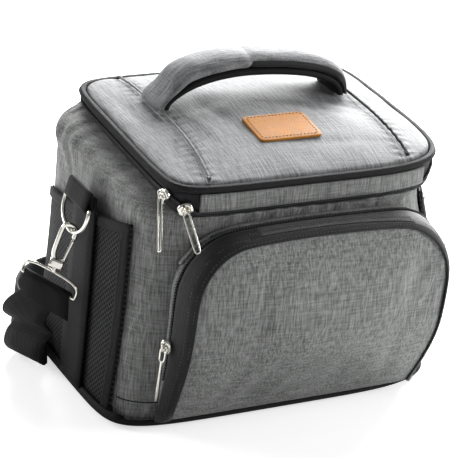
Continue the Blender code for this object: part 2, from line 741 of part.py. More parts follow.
def mesh_out(y, z):
    """How far the mesh pocket's inner face stands off the wall at y, z."""
    share = min(max((y - MESH_FRONT) / (MESH_BACK - MESH_FRONT), 0.0), 1.0)
    tall = min(max((z - MESH_BOTTOM) / (mesh_top(y) - MESH_BOTTOM), 0.0), 1.0)
    belly = math.sin(math.pi * share) ** 0.7 * (1 - (1 - tall) ** 3) * (1 - 0.35 * tall ** 4)
    return 2 * SEAT + MESH_BULGE * belly


def side_point(side, y, z, out):
    """A point off the body's side wall."""
    return Vector((side_x(side, y, z) + side * out, y, z))


def make_side(side, word, cloth, black, net):
    """One side's mesh pocket, its binding and the webbing that runs up over it."""
    inner_y = MESH_FRONT + MESH_BINDING
    mouth = np.linspace(inner_y + MESH_BINDING / 2, MESH_BACK, 9)
    rings = []
    for y in [MESH_FRONT, *mouth]:
        heights = np.linspace(MESH_BOTTOM, mesh_top(y), 7)
        inner = [side_point(side, y, z, mesh_out(y, z)) for z in heights]
        outer = [side_point(side, y, z, mesh_out(y, z) + CLOTH) for z in heights]
        rings.append(inner + outer[::-1])
    loft(f"mesh_pocket_{word}", rings, net)

    edges = []
    for z in np.linspace(MESH_BOTTOM, MESH_FRONT_TOP - 0.012, 7):
        edges.append(((MESH_FRONT, z), (MESH_FRONT + MESH_BINDING, z)))
    edges.append(((MESH_FRONT, MESH_FRONT_TOP), (inner_y, mesh_top(inner_y) - MESH_BINDING)))
    for y in mouth:
        edges.append(((y, mesh_top(y)), (y, mesh_top(y) - MESH_BINDING)))
    rings = []
    for outside, inside in edges:
        low = [side_point(side, *spot, mesh_out(*spot) + CLOTH + BINDING_LIFT)
               for spot in (outside, inside)]
        high = [side_point(side, *spot, mesh_out(*spot) + CLOTH + BINDING_LIFT + BINDING)
                for spot in (inside, outside)]
        rings.append(low + high)
    loft(f"mesh_binding_{word}", rings, black)

    rings = []
    for z in np.linspace(WEBBING_BOTTOM, WEBBING_TOP, 12):
        across = np.linspace(*strap_edges(side), 3)
        rings.append([side_point(side, y, z, webbing_out(y, z)) for y in across]
                     + [side_point(side, y, z, webbing_out(y, z) + WEBBING)
                        for y in across[::-1]])
    loft(f"side_webbing_{word}", rings, black)


def webbing_out(y, z):
    """How far the side webbing's inner face stands off the wall."""
    return mesh_out(y, z) + CLOTH + BINDING_LIFT + BINDING + SEAT


def strap_y(side):
    """The middle of one side's webbing."""
    return STRAP_LEFT_Y if side < 0 else STRAP_RIGHT_Y


def strap_edges(side):
    """The front and back edge of one side's webbing."""
    return strap_y(side) - STRAP_WIDTH / 2, strap_y(side) + STRAP_WIDTH / 2


def webbing_reach(side, low, high):
    """How far out of the middle the webbing's outer face comes between two heights."""
    return max(abs(side_x(side, y, z)) + webbing_out(y, z) + WEBBING
               for z in np.linspace(low, high, 12) for y in np.linspace(*strap_edges(side), 3))


def ring_bar(side):
    """The middle of the D-ring's straight bar, seated on the webbing's top."""
    tab = 2 * (RING_CLEARANCE + RING_WIRE) + 2 * STRAP_THICKNESS
    wall = webbing_reach(side, RING_BAR_Z - tab / 2, WEBBING_TOP)
    return Vector((side * (wall + SEAT + tab / 2), strap_y(side), RING_BAR_Z))


def ring_bottom(side):
    """The middle of the D-ring's round end, which leans out so that the hook clears the wall."""
    bar = ring_bar(side)
    widest = webbing_reach(side, RING_BAR_Z - HOOK_REACH, RING_BAR_Z)
    hook = (HOOK_HALF_WIDTH + HOOK_WIRE) * math.cos(math.radians(HOOK_TURN)) + 4 * GAP
    out = max(widest + hook - abs(bar.x), 0.0)
    return bar + Vector((side * out, 0, -math.sqrt(RING_HEIGHT ** 2 - out ** 2)))


def make_ring(side, word, black, metal):
    """The webbing tab folded round the D-ring's bar, and the D-ring."""
    bar = ring_bar(side)
    round_bar = RING_WIRE + RING_CLEARANCE + STRAP_THICKNESS / 2
    top = STRAP_THICKNESS / 2 + RING_CLEARANCE
    spots = []
    for step in range(7):
        turn = math.radians(180 + 30 * step)
        spots.append((round_bar * math.cos(turn), round_bar * math.sin(turn)))
    spots.append((0.3 * round_bar, 0.55 * TAB_RISE))
    for step in range(4):
        turn = math.radians(20 + 53 * step)
        spots.append((-round_bar + top + top * math.cos(turn), TAB_RISE + top * math.sin(turn)))
    spots.append((-round_bar, 0.5 * TAB_RISE))
    rings = []
    for i, (out, up) in enumerate(spots):
        before, after = spots[i - 1], spots[(i + 1) % len(spots)]
        run = Vector((after[0] - before[0], after[1] - before[1])).normalized()
        aside = Vector((run.y, -run.x)) * STRAP_THICKNESS / 2
        ring = []
        for across, way in ((-1, -1), (-1, 1), (1, 1), (1, -1)):
            ring.append(bar + Vector((side * (out + way * aside.x), across * STRAP_WIDTH / 2,
                                      up + way * aside.y)))
        rings.append(ring)
    loft(f"ring_tab_{word}", rings, black, closed=True)

    half = STRAP_WIDTH / 2 + RING_PLAY + RING_WIRE
    leg, bend = RING_LEG, RING_BEND
    spots = [(half - bend, 0), (half - 0.3 * bend, -0.3 * bend), (half, -bend), (half, -leg)]
    for step in range(1, 10):
        turn = math.radians(18 * step)
        spots.append((half * math.cos(turn), -leg - (RING_HEIGHT - leg) * math.sin(turn)))
    spots += [(-y, z) for y, z in reversed(spots[:4])]
    down = (ring_bottom(side) - bar) / RING_HEIGHT
    tube(f"d_ring_{word}", [bar + Vector((0, y, 0)) - down * z for y, z in spots], RING_WIRE,
         metal, cyclic=True)


def hook_frame(side):
    """The hook's own axes: its place round the D-ring, across (towards the bag), along and deep."""
    origin = ring_bottom(side)
    out, back = HOOK_LEAN
    along = Vector((side * out, back, -math.sqrt(1 - out * out - back * back)))
    turn = math.radians(HOOK_TURN)
    across = Vector((-side * math.cos(turn), -math.sin(turn), 0))
    across = (across - along * across.dot(along)).normalized()
    return origin, across, along, along.cross(across)


def as_mesh(source):
    """Turns a curve object into a mesh object of the same name."""
    name, finish = source.name, source.data.materials[0]
    mesh = bpy.data.meshes.new_from_object(source)
    bpy.data.objects.remove(source, do_unlink=True)
    mesh.materials.clear()
    return add_object(name, mesh, finish)


def combine(target, other, operation):
    """Joins or cuts one object with another, which then stays only as a guide."""
    step = target.modifiers.new(operation.lower(), "BOOLEAN")
    step.operation = operation
    step.object = other
    other.hide_render = True
    other.display_type = "WIRE"


def block(name, centre, axes, size, finish):
    """A box along three axes."""
    rings = []
    for share in (-0.5, 0.5):
        rings.append([centre + axes[2] * size[2] * share + axes[0] * size[0] * a
                      + axes[1] * size[1] * b
                      for a, b in ((-0.5, -0.5), (0.5, -0.5), (0.5, 0.5), (-0.5, 0.5))])
    return loft(name, rings, finish, smooth=False)


def rod(name, start, end, radius, finish, sides=10, tip=None):
    """A round rod between two points, tapering to tip."""
    run = (end - start).normalized()
    aside = run.orthogonal().normalized()
    other = run.cross(aside)
    rings = []
    for point, size in ((start, radius), (end, tip or radius)):
        rings.append([point + (aside * math.cos(turn) + other * math.sin(turn)) * size
                      for turn in (2 * math.pi * i / sides for i in range(sides))])
    return loft(name, rings, finish)


def rest_on(made, origin):
    """Puts an object's origin at a point without moving its shape."""
    made.data.transform(Matrix.Translation(-origin))
    made.location = origin


def gate_pivot(side):
    """The gate's pin and the axes it turns in."""
    origin, across, along, deep = hook_frame(side)
    return origin + across * GATE_PIN[0] + along * GATE_PIN[1], across, along, deep


def make_hook(side, word, metal):
    """The snap hook, its sprung gate and the swivelling wire loop that holds the strap."""
    origin, across, along, deep = hook_frame(side)

    def at(u, v):
        return origin + across * u + along * v

    half = HOOK_HALF_WIDTH
    crown = RING_WIRE + HOOK_WIRE + 2 * GAP
    spots = [(half, NOSE), (half, NOSE * 0.4)]
    for step in range(1, 8):
        turn = math.radians(22.5 * step)
        spots.append((half * math.cos(turn), -crown * math.sin(turn)))
    base = HOOK_LENGTH - HOOK_BASE[2] / 2
    spots += [(-half, 0.002), (-half, base - 0.011), (-half * 0.9, base - 0.007),
              (-half * 0.55, base - 0.003), (-half * 0.45, base)]
    hook = as_mesh(tube(f"hook_{word}", [at(u, v) for u, v in spots], HOOK_WIRE, metal))
    centre = at(0, base)
    axes = (across, deep, along)
    foot = block(f"hook_foot_{word}", centre, axes, HOOK_BASE, metal)
    combine(hook, foot, "UNION")
    pin, *_ = gate_pivot(side)
    slot_high = HOOK_BASE[0] / 2 - GATE_SLOT_START
    slot = block(f"hook_slot_{word}",
                 at(GATE_SLOT_START + slot_high / 2 + 0.001, base - 0.0010), axes,
                 (slot_high + 0.002, GATE_THICKNESS + 2 * GAP, HOOK_BASE[2]), metal)
    combine(hook, slot, "DIFFERENCE")
    reach = HOOK_BASE[1] / 2 - 0.0008
    post = rod(f"hook_pin_{word}", pin - deep * reach, pin + deep * reach, PIN_RADIUS, metal, 8)
    combine(hook, post, "UNION")
    end = at(0, HOOK_LENGTH)
    bore = rod(f"hook_bore_{word}", end - along * BORE_DEPTH, end + along * 0.002,
               SWIVEL_RADIUS + GAP, metal)
    combine(hook, bore, "DIFFERENCE")

    tip = at(half, NOSE + 2 * GAP)
    lever = (pin - tip).normalized()
    side_way = lever.cross(deep).normalized()
    thick = GATE_THICKNESS / 2
    rings = []
    for point, size in ((tip, 0.85), (tip + lever * 0.004, 1.0), (pin - lever * 0.002, 1.0),
                        (pin + lever * 0.0008, 0.95), (pin + lever * 0.0015, 0.6)):
        rings.append([point + side_way * thick * size * a + deep * thick * b
                      for a, b in ((-1, -1), (1, -1), (1, 1), (-1, 1))])
    gate = loft(f"hook_gate_{word}", rings, metal)
    hole = rod(f"gate_hole_{word}", pin - deep * 0.004, pin + deep * 0.004,
               PIN_RADIUS + PIN_CLEARANCE, metal, 8)
    combine(gate, hole, "DIFFERENCE")
    rest_on(gate, pin)

    top, width_way, down = loop_frame(side)
    half = STRAP_WIDTH / 2 + LOOP_WIRE + LOOP_PLAY
    right = [(0.0, 0.0), (0.45, 0.02), (0.75, 0.10), (0.93, 0.26), (1.0, 0.50), (1.0, 0.88),
             (0.985, 0.97), (0.94, 1.0), (0.3, 1.0)]
    spots = right + [(-u, v) for u, v in reversed(right[1:])]
    wire = as_mesh(tube(f"strap_loop_{word}",
                        [top + width_way * (u * half) + down * (v * LOOP_HEIGHT)
                         for u, v in spots], LOOP_WIRE, metal, cyclic=True))
    neck = rod(f"loop_neck_{word}", end - along * (BORE_DEPTH - GAP), top + along * 0.0006,
               SWIVEL_RADIUS, metal)
    combine(wire, neck, "UNION")


def loop_frame(side):
    """The wire loop's top bar, the way of its width and the way down to its lower bar."""
    origin, _, along, _ = hook_frame(side)
    out, back = LOOP_LEAN
    down = Vector((side * out, back, -math.sqrt(1 - out * out - back * back)))
    yaw = math.radians(LOOP_YAW)
    width_way = Vector((-side * math.cos(yaw), math.sin(yaw), 0))
    width_way = (width_way - down * width_way.dot(down)).normalized()
    return origin + along * (HOOK_LENGTH + LOOP_DROP), width_way, down


def strap_half(side):
    """One half of the strap's route: points and the way of its width, from its sewn end."""
    top, width_way, down = loop_frame(side)
    bar = top + down * LOOP_HEIGHT
    front = width_way.cross(down).normalized()
    if front.y > 0:
        front.negate()
    around = LOOP_WIRE + GAP + RING_CLEARANCE + STRAP_THICKNESS / 2
    tail = bar + front * (around + RING_CLEARANCE)
    rows = [(tail - Vector((0, 0, STRAP_TAIL)), width_way),
            (tail - Vector((0, 0, STRAP_TAIL / 2)), width_way)]
    for turn in (-10, 40, 90, 140, 190):
        turn = math.radians(turn)
        rows.append((bar + front * around * math.cos(turn)
                     + Vector((0, 0, around * math.sin(turn))), width_way))
    anchor = webbing_reach(side, STRAP_ANCHOR_Z, RING_BAR_Z)
    for out, along, height, yaw, rise in STRAP_ROUTE:
        yaw, rise = math.radians(yaw), math.radians(rise)
        way = Vector((-side * math.cos(yaw) * math.cos(rise), math.sin(yaw) * math.cos(rise),
                      math.sin(rise)))
        rows.append((Vector((side * (anchor + out), strap_y(side) + along, height)), way))
    return rows


def make_strap(finish):
    """The shoulder strap, whole: from the left loop, round behind the bag, to the right loop."""
    left, right = strap_half(-1), strap_half(1)
    middle = (left[-1][0] + right[-1][0]) / 2
    middle = (middle + Vector((0, STRAP_BACK_BOW, 0)), Vector((0, 0, 1)))
    rows = left + [middle] + right[::-1]
    line = smooth_points([(*point, *way) for point, way in rows])
    rings = []
    for i, row in enumerate(line):
        before, after = line[max(i - 1, 0)], line[min(i + 1, len(line) - 1)]
        run = Vector(after[:3] - before[:3]).normalized()
        way = Vector(row[3:]).normalized() * STRAP_WIDTH / 2
        thick = run.cross(way).normalized() * STRAP_THICKNESS / 2
        point = Vector(row[:3])
        rings.append([point - way - thick, point + way - thick, point + way + thick,
                      point - way + thick])
    return loft("shoulder_strap", rings, finish)


def slider_frame(seat, out, tilt):
    """A slider's axes: where its puller turns, the way down it, across it and outwards."""
    out = Vector((out.x, out.y, 0)).normalized()
    level = Vector((0, 0, -1)).cross(out)
    turn = math.radians(tilt)
    down = level * math.sin(turn) - Vector((0, 0, math.cos(turn)))
    place = seat + out * (SEAT + SLIDER_SIZE[2] + ARCH_REACH / 2)
    return place, down, down.cross(out), out


def lid_slider_frame(angle, tilt):
    """A slider on the lid's zip coil."""
    spots = lid_outline(0.0, 720)
    turns = [math.degrees(math.atan2(y - LID_SHIFT_Y, x)) % 360 for x, y in spots]
    corner = 180 + math.degrees(math.atan2(LID_DEPTH / 2, LID_LEFT))
    index = min(range(len(spots)), key=lambda i: abs(turns[i] - corner - angle))
    here = coil_point(*spots[index])
    run = Vector(spots[index + 1]) - Vector(spots[index - 1])
    out = Vector((run.y, -run.x, 0)).normalized()
    return slider_frame(here + out * COIL_RADIUS, out, tilt)


def pocket_slider_frame():
    """The slider on the pocket's zip coil, at one of the outline's points."""
    spots = pocket_outline()
    index, turn, lift, tilt, *_ = POCKET_SLIDER
    (across, depth), (_, far) = POCKET_ZIP_ROWS
    depth = (depth + far) / 2
    seat = pocket_normal(spots, index, across, depth, 1.5 * SEAT + COIL_RADIUS)
    out = seat - pocket_normal(spots, index, across, depth, 0.0)
    out = Matrix.Rotation(math.radians(turn), 3, "Z") @ out.normalized()
    return slider_frame(seat + out * lift, out, tilt)


def clear_swing(frame, swing, length):
    """The swing of a lid slider's puller, raised until it hangs clear of the body's walls."""
    place, down, across, out = frame
    for extra in range(60):
        turn = math.radians(swing + extra)
        hang = down * math.cos(turn) + out * math.sin(turn)
        spots = [place + hang * (length * share) + across * (PULLER_WIDTH / 2 * aside)
                 for share in (0.25, 0.5, 0.75, 1.0) for aside in (-1, 1)]
        if min(off_wall(spot) for spot in spots) > PULLER_WIRE + PULLER_CLEARANCE:
            break
    return swing + extra


def make_slider(word, frame, swing, length, upright, metal):
    """A zip slider with its arch, and its puller: a hairpin, or a needle on an upright zip."""
    place, down, across, out = frame
    plate = place - out * ((SLIDER_SIZE[2] + ARCH_REACH) / 2)
    rings = []
    along, aside = (down, across) if upright else (across, down)
    for share, size in ((-0.5, SLIDER_NOSE), (-0.25, 1.0), (0.3, 1.0), (0.5, SLIDER_NOSE)):
        rings.append([plate + along * SLIDER_SIZE[0] * share + aside * SLIDER_SIZE[1] * size * a
                      + out * SLIDER_SIZE[2] * b
                      for a, b in ((-0.5, -0.5), (0.5, -0.5), (0.5, 0.3), (0.32, 0.5),
                                   (-0.32, 0.5), (-0.5, 0.3))])
    body = loft(f"slider_{word}", rings, metal)
    low, high = SLIDER_SIZE[2] / 2 - ARCH_WIRE, SLIDER_SIZE[2] / 2 + ARCH_REACH
    spots = [(-0.5, low), (-0.5, high - 0.0014), (-0.36, high - 0.0003), (0.0, high),
             (0.36, high - 0.0003), (0.5, high - 0.0014), (0.5, low)]
    arch = as_mesh(tube(f"arch_{word}", [plate + down * (u * ARCH_HEIGHT) + out * v
                                         for u, v in spots], ARCH_WIRE, metal))
    combine(body, arch, "UNION")

    turn = math.radians(swing)
    hang = down * math.cos(turn) + out * math.sin(turn)
    half = PULLER_WIDTH / 2 - PULLER_WIRE
    loop_length = NEEDLE_LOOP if upright else length
    spots = [(half * math.sin(math.radians(turn)), half * (1 - math.cos(math.radians(turn))))
             for turn in (-60, -30, 0, 30, 60, 90)]
    spots += [(half * wide, loop_length * tall) for wide, tall in
              ((1.0, 0.5), (0.95, 0.93), (0.6, 0.985), (-0.6, 0.985), (-0.95, 0.93), (-1.0, 0.5))]
    spots.append((-half, half))
    ring = as_mesh(tube(f"puller_{word}", [place + across * u + hang * v for u, v in spots],
                        PULLER_WIRE, metal, cyclic=True))
    if upright:
        start = place + hang * (NEEDLE_LOOP * 0.985)
        shank = rod(f"needle_{word}", start, place + hang * length, PULLER_WIRE * 0.9, metal, 8,
                    tip=PULLER_WIRE * 1.7)
        combine(ring, shank, "UNION")
    rest_on(ring, place)


def start_clean():
    """Removes what the file opened with."""
    for thing in list(bpy.data.objects):
        bpy.data.objects.remove(thing, do_unlink=True)


def main():
    """Builds every sub-part."""
    start_clean()
    grey = material("heather_cloth", (0.19, 0.195, 0.205), 0.85)
    black = material("black_cloth", (0.018, 0.018, 0.02), 0.7)
    mesh_cloth = material("mesh_cloth", (0.025, 0.027, 0.03), 0.75)
    metal = material("nickel", (0.78, 0.77, 0.74), 0.22, 1.0)
    leather = material("tan_leather", (0.60, 0.30, 0.09), 0.55)
    make_body(grey)
    make_base_binding(black)
    make_lid(grey)
    make_lid_rim(black, black, black, grey)
    make_lid_seams(black)
    make_handle(grey, black)
    make_patch(leather)
    make_pocket(grey, black, black)
    for side, word in ((-1, "left"), (1, "right")):
        make_side(side, word, grey, black, mesh_cloth)
        make_ring(side, word, black, metal)
        make_hook(side, word, metal)
    make_strap(black)
    for word, angle, tilt, swing, length in SLIDERS:
        frame = lid_slider_frame(angle, tilt)
        swing = clear_swing(frame, swing, length)
        make_slider(word, frame, swing, length, False, metal)
    *_, swing, length = POCKET_SLIDER
    make_slider("pocket", pocket_slider_frame(), swing, length, True, metal)


main()
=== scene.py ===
"""The looks of a padded travel bag: heather cloth, black webbing, zips, net, nickel, leather."""
import math

import bmesh
import bpy
from mathutils import Matrix, Vector, noise
from mathutils.bvhtree import BVHTree


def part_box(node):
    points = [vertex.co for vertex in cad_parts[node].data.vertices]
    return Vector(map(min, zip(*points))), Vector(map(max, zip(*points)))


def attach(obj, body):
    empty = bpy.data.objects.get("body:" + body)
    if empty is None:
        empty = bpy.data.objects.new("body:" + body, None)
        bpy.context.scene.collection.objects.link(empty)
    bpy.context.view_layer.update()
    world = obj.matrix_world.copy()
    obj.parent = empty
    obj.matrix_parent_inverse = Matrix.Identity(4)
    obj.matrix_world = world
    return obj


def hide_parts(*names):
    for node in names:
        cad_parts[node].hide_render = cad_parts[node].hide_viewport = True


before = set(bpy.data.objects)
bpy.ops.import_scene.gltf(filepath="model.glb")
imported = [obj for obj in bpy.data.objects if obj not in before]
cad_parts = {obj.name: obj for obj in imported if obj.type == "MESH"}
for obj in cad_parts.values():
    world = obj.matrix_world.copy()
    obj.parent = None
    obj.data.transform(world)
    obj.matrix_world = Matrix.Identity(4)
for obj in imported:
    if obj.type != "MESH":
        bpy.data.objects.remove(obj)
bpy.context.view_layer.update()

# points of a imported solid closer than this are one
MERGE = 2e-6

# rays that find a face start this far from the bag's middle
FAR = 0.4

# the camera, as it was solved from the photograph's straight edges
CAMERA_PLACE = (-0.7564, -1.3741, 0.7754)
CAMERA_TURN = (-28.0, 22.6, 4.6)      # round, down and rolled, in degrees
CAMERA_LENS = 147.4585

# the light of the surround, the floor's own glow, and the lamps
SURROUND = 0.24
FLOOR_GLOW = 0.62
LIGHTS = [
    # name, place, size, power
    ("key", (1.05, 1.30, 1.20), 1.9, 150.0),
    ("rim", (1.5, 1.35, 0.62), 0.9, 22.0),
    ("right_front", (2.1, -1.25, 0.85), 1.0, 36.0),
    ("left_back", (-1.45, 1.05, 0.80), 0.9, 15.0),
]

# the floor's colour and how far it lies under the base
FLOOR_COLOUR = (0.86, 0.86, 0.86, 1.0)
FLOOR_DROP = 0.0004

# the cloth's dark and light yarns, on the lid and handle, the walls, and the pocket's border
GREY_YARNS = ((0.040, 0.042, 0.044), (0.37, 0.375, 0.385))
WALL_YARNS = ((0.030, 0.032, 0.030), (0.375, 0.385, 0.375))
BORDER_YARNS = ((0.022, 0.022, 0.023), (0.115, 0.116, 0.118))
BLACK_CLOTH = (0.007, 0.007, 0.008, 1.0)
# how fine the yarns are across and along their way
FINE, LONG = 760.0, 60.0

# the net's pitch, the share of it that is thread, and the colours of its gaps and threads; the
# gaps' near black is painted shade of the cloth seen through the holes, partly that cloth's own
# dark lining
NET_PITCH, NET_SHARE = 0.0050, 0.30
NET_GAP_SHADE = (0.003, 0.003, 0.0033, 1)
NET_THREADS = ((0.012, 0.012, 0.013, 1), (0.070, 0.071, 0.073, 1))

# the lid's two seams, as the model has them: their distance from the middle, how far they swing
# to the left at the front, and half their length
SEAM_X = 0.095
SEAM_BOW = 0.010
SEAM_REACH = 0.1045

# how far the lid's two seam pieces are drawn out to reach its border
SEAM_STRETCH = {"left": 1.05, "right": 1.08}

# the middle of the pocket's outline in x and z, and of the lid's in x and y
POCKET_MIDDLE = (-0.009, 0.0879)
LID_MIDDLE = (0.0, -0.001)

# stitches: their pitch, how far they stand out, and the size of one along and across its line
STITCH_PITCH = 0.0034
STITCH_LIFT = 0.0001
FINE_STITCH = (0.0024, 0.0006, 0.0006)
BORDER_STITCH = (0.0026, 0.0008, 0.0006)
PATCH_STITCH = (0.0024, 0.0008, 0.0007)

# zip teeth: pitch, the size of one, and how far they stand out
LID_TEETH = (0.0015, (0.0008, 0.0030, 0.0012), 0.0007)
POCKET_TEETH = (0.0026, (0.0013, 0.0044, 0.0016), 0.0008)
TOP_TEETH = (0.0026, (0.0011, 0.0042, 0.0007), 0.0001)

# the lid's stitch lines: side, and distance from the seam towards the lid's middle
LID_STITCHES = [
    ("left_near", -1, 0.0045),
    ("left_far", -1, -0.0042),
    ("right_near", 1, 0.0042),
    ("right_far", 1, -0.0042),
]

# the radius of the black cords that are sewn on
SHOULDER_CORD = 0.0009
SEAM_CORD = 0.0006
# the shoulder's seam: its start and length in x, and its y
SHOULDER_SEAM = (-0.171, 0.040, 0.104)
# the seam low on the front-left corner: its height, its start and length along the side in y,
# and its start and length along the front in x
BASE_SEAM = (0.024, -0.085, -0.030, -0.150, 0.020)

# the body's full back-left shoulder: y, z, its half size along both, and how far it stands out
SHOULDER = (0.070, 0.206, 0.045, 0.016, 0.0075)
# the gathers round the lid's back-left corner: y, z, the distance and the half width of their
# ring, how closely they follow each other, and their depth
GATHERS = (0.100, 0.228, 0.034, 0.022, 15.0, 0.0016)
# the body's rim, which is under the lid's border, stays as it is above this height
RIM_HEIGHT = 0.226

# the lid's lining: its growth in x and y, its drop, and its further drop away from the edge
LINING_GROWTH = (1.016, 1.018)
LINING_DROP = 0.0024
LINING_HOLLOW = 0.007
LID_HALF = (0.136, 0.113)

# the handle's wrap ends here in x, and shows a black underside this near to the webbing
WRAP_END = -0.014
UNDERSIDE = 0.0088
# the webbing under the handle is spread in y from its middle line
HANDLE_LINE = 0.027
UNDER_SPREAD = 1.16

# the grey part of the pocket's border: where it starts in z and x, and how softly
GREY_LOW, GREY_RISE = 0.144, 0.026
GREY_LEFT, GREY_RUN = -0.094, 0.050
# the y of its front edge with the blend there, of the black line behind that, and of the teeth
GREY_FRONT, GREY_BLEND = -0.1437, 0.0016
EDGE_LINE = -0.1418
TEETH_LINE = -0.1368
# where that line and the teeth start in x, and their length
TOP_ROWS = (-0.080, 0.156)

# the lower edge of the net pockets and their binding: under this height they go down
HEM = 0.016
HEM_DROP = 1.04
# the body is black outside this x, behind this y and under this height
BLACK_HEM = (0.115, -0.084, 0.0155)
# the base's binding rises at the sides: from this x, over this width, above this height and
# behind this y, by so much
TRIM_RISE = (0.112, 0.012, 0.006, -0.095, 0.0036)

# the handle's left foot: right of this x it stays; elsewhere it goes out below this height,
# over this drop, by so much
FOOT = (-0.03, 0.264, 0.019, 0.0115)

# the pocket's lower right corner is drawn in: from this x over this width, and under this
# height over this drop
CORNER = (0.06, 0.04, 0.080, 0.065)

# a slider swells by so much where its puller is further off than this, over this width
SLIDER_SWELL = (0.0011, 0.0015, 0.002)


# ---------------------------------------------------------------- camera, light and floor

def aim_camera():
    """The camera at the photograph's angle."""
    azimuth, elevation, roll = (math.radians(value) for value in CAMERA_TURN)
    ahead = Vector((-math.sin(azimuth) * math.cos(elevation),
                    math.cos(azimuth) * math.cos(elevation), -math.sin(elevation)))
    right = Vector((math.cos(azimuth), math.sin(azimuth), 0.0))
    up = right.cross(ahead)
    turned_right = right * math.cos(roll) + up * math.sin(roll)
    turned_up = up * math.cos(roll) - right * math.sin(roll)
    data = bpy.data.cameras.new("camera")
    data.lens = CAMERA_LENS
    data.sensor_width = 36.0
    camera = bpy.data.objects.new("camera", data)
    bpy.context.scene.collection.objects.link(camera)
    turn = Matrix((turned_right, turned_up, -ahead)).transposed().to_4x4()
    camera.matrix_world = Matrix.Translation(CAMERA_PLACE) @ turn
    bpy.context.scene.camera = camera


def area_light(name, place, target, size, power):
    """A square soft light aimed at a point."""
    data = bpy.data.lights.new(name, "AREA")
    data.shape = "SQUARE"
    data.size = size
    data.energy = power
    made = bpy.data.objects.new(name, data)
    bpy.context.scene.collection.objects.link(made)
    made.location = place
    made.rotation_euler = (Vector(target) - Vector(place)).to_track_quat("-Z", "Y").to_euler()


def camera_share(tree):
    """1 for what the camera sees by itself, 0 for what only lights other things."""
    return tree.nodes.new("ShaderNodeLightPath").outputs["Is Camera Ray"]


def light_studio():
    """A white surround, a large light over the back right, and softer ones at the sides."""
    bpy.context.scene.view_settings.view_transform = "Standard"
    world = bpy.data.worlds.new("studio")
    world.use_nodes = True
    tree = world.node_tree
    background = tree.nodes["Background"]
    background.inputs["Color"].default_value = (1.0, 1.0, 1.0, 1.0)
    strength = math_node(tree, "ADD", math_node(tree, "MULTIPLY", camera_share(tree),
                                                1.0 - SURROUND), SURROUND)
    tree.links.new(strength, background.inputs["Strength"])
    bpy.context.scene.world = world
    middle = (0.0, 0.0, 0.12)
    for name, place, size, power in LIGHTS:
        area_light(name, place, middle, size, power)


def lay_floor():
    """A plain pale floor."""
    shape = bmesh.new()
    bmesh.ops.create_grid(shape, x_segments=1, y_segments=1, size=12.0)
    mesh = bpy.data.meshes.new("floor")
    shape.to_mesh(mesh)
    shape.free()
    floor = bpy.data.objects.new("floor", mesh)
    bpy.context.scene.collection.objects.link(floor)
    finish = bpy.data.materials.new("floor_white")
    finish.use_nodes = True
    tree = finish.node_tree
    shader = tree.nodes["Principled BSDF"]
    shader.inputs["Base Color"].default_value = FLOOR_COLOUR
    shader.inputs["Roughness"].default_value = 0.9
    shader.inputs["Specular IOR Level"].default_value = 0.0
    shader.inputs["Emission Color"].default_value = (1.0, 1.0, 1.0, 1.0)
    glow = math_node(tree, "MULTIPLY", camera_share(tree), FLOOR_GLOW)
    tree.links.new(glow, shader.inputs["Emission Strength"])
    mesh.materials.append(finish)
    floor.location.z = -FLOOR_DROP


# ---------------------------------------------------------------- shader groups

def new_group(name, inputs, outputs):
    """An empty shader group with named sockets, and its two end nodes."""
    group = bpy.data.node_groups.new(name, "ShaderNodeTree")
    for label, kind, value in inputs:
        socket = group.interface.new_socket(label, in_out="INPUT", socket_type=kind)
        if value is not None:
            socket.default_value = value
    for label, kind in outputs:
        group.interface.new_socket(label, in_out="OUTPUT", socket_type=kind)
    return group, group.nodes.new("NodeGroupInput"), group.nodes.new("NodeGroupOutput")


def math_node(tree, operation, first, second, clamp=False):
    """A Math node of two sockets or numbers."""
    node = tree.nodes.new("ShaderNodeMath")
    node.operation = operation
    node.use_clamp = clamp
    for socket, value in zip(node.inputs, (first, second)):
        if isinstance(value, (int, float)):
            socket.default_value = value
        else:
            tree.links.new(value, socket)
    return node.outputs[0]


def noise_node(tree, vector, scale, detail, roughness=0.55):
    """A Noise Texture's value on a vector."""
    node = tree.nodes.new("ShaderNodeTexNoise")
    node.inputs["Scale"].default_value = scale
    node.inputs["Detail"].default_value = detail
    node.inputs["Roughness"].default_value = roughness
    tree.links.new(vector, node.inputs["Vector"])
    return node.outputs["Fac"]


def scaled(tree, vector, scale):
    """A vector times another, which may be a socket."""
    node = tree.nodes.new("ShaderNodeVectorMath")
    node.operation = "MULTIPLY"
    tree.links.new(vector, node.inputs[0])
    if isinstance(scale, tuple):
        node.inputs[1].default_value = scale
    else:
        tree.links.new(scale, node.inputs[1])
    return node.outputs[0]


def stretched(tree, value, low, high):
    """A value spread from low..high to 0..1."""
    node = tree.nodes.new("ShaderNodeMapRange")
    node.inputs["From Min"].default_value = low
    node.inputs["From Max"].default_value = high
    tree.links.new(value, node.inputs["Value"])
    return node.outputs["Result"]


def mixed(tree, share, first, second):
    """A colour between two, by a share."""
    node = tree.nodes.new("ShaderNodeMix")
    node.data_type = "RGBA"
    tree.links.new(share, node.inputs["Factor"])
    for socket, value in ((node.inputs["A"], first), (node.inputs["B"], second)):
        if isinstance(value, tuple):
            socket.default_value = value
        else:
            tree.links.new(value, socket)
    return node.outputs["Result"]


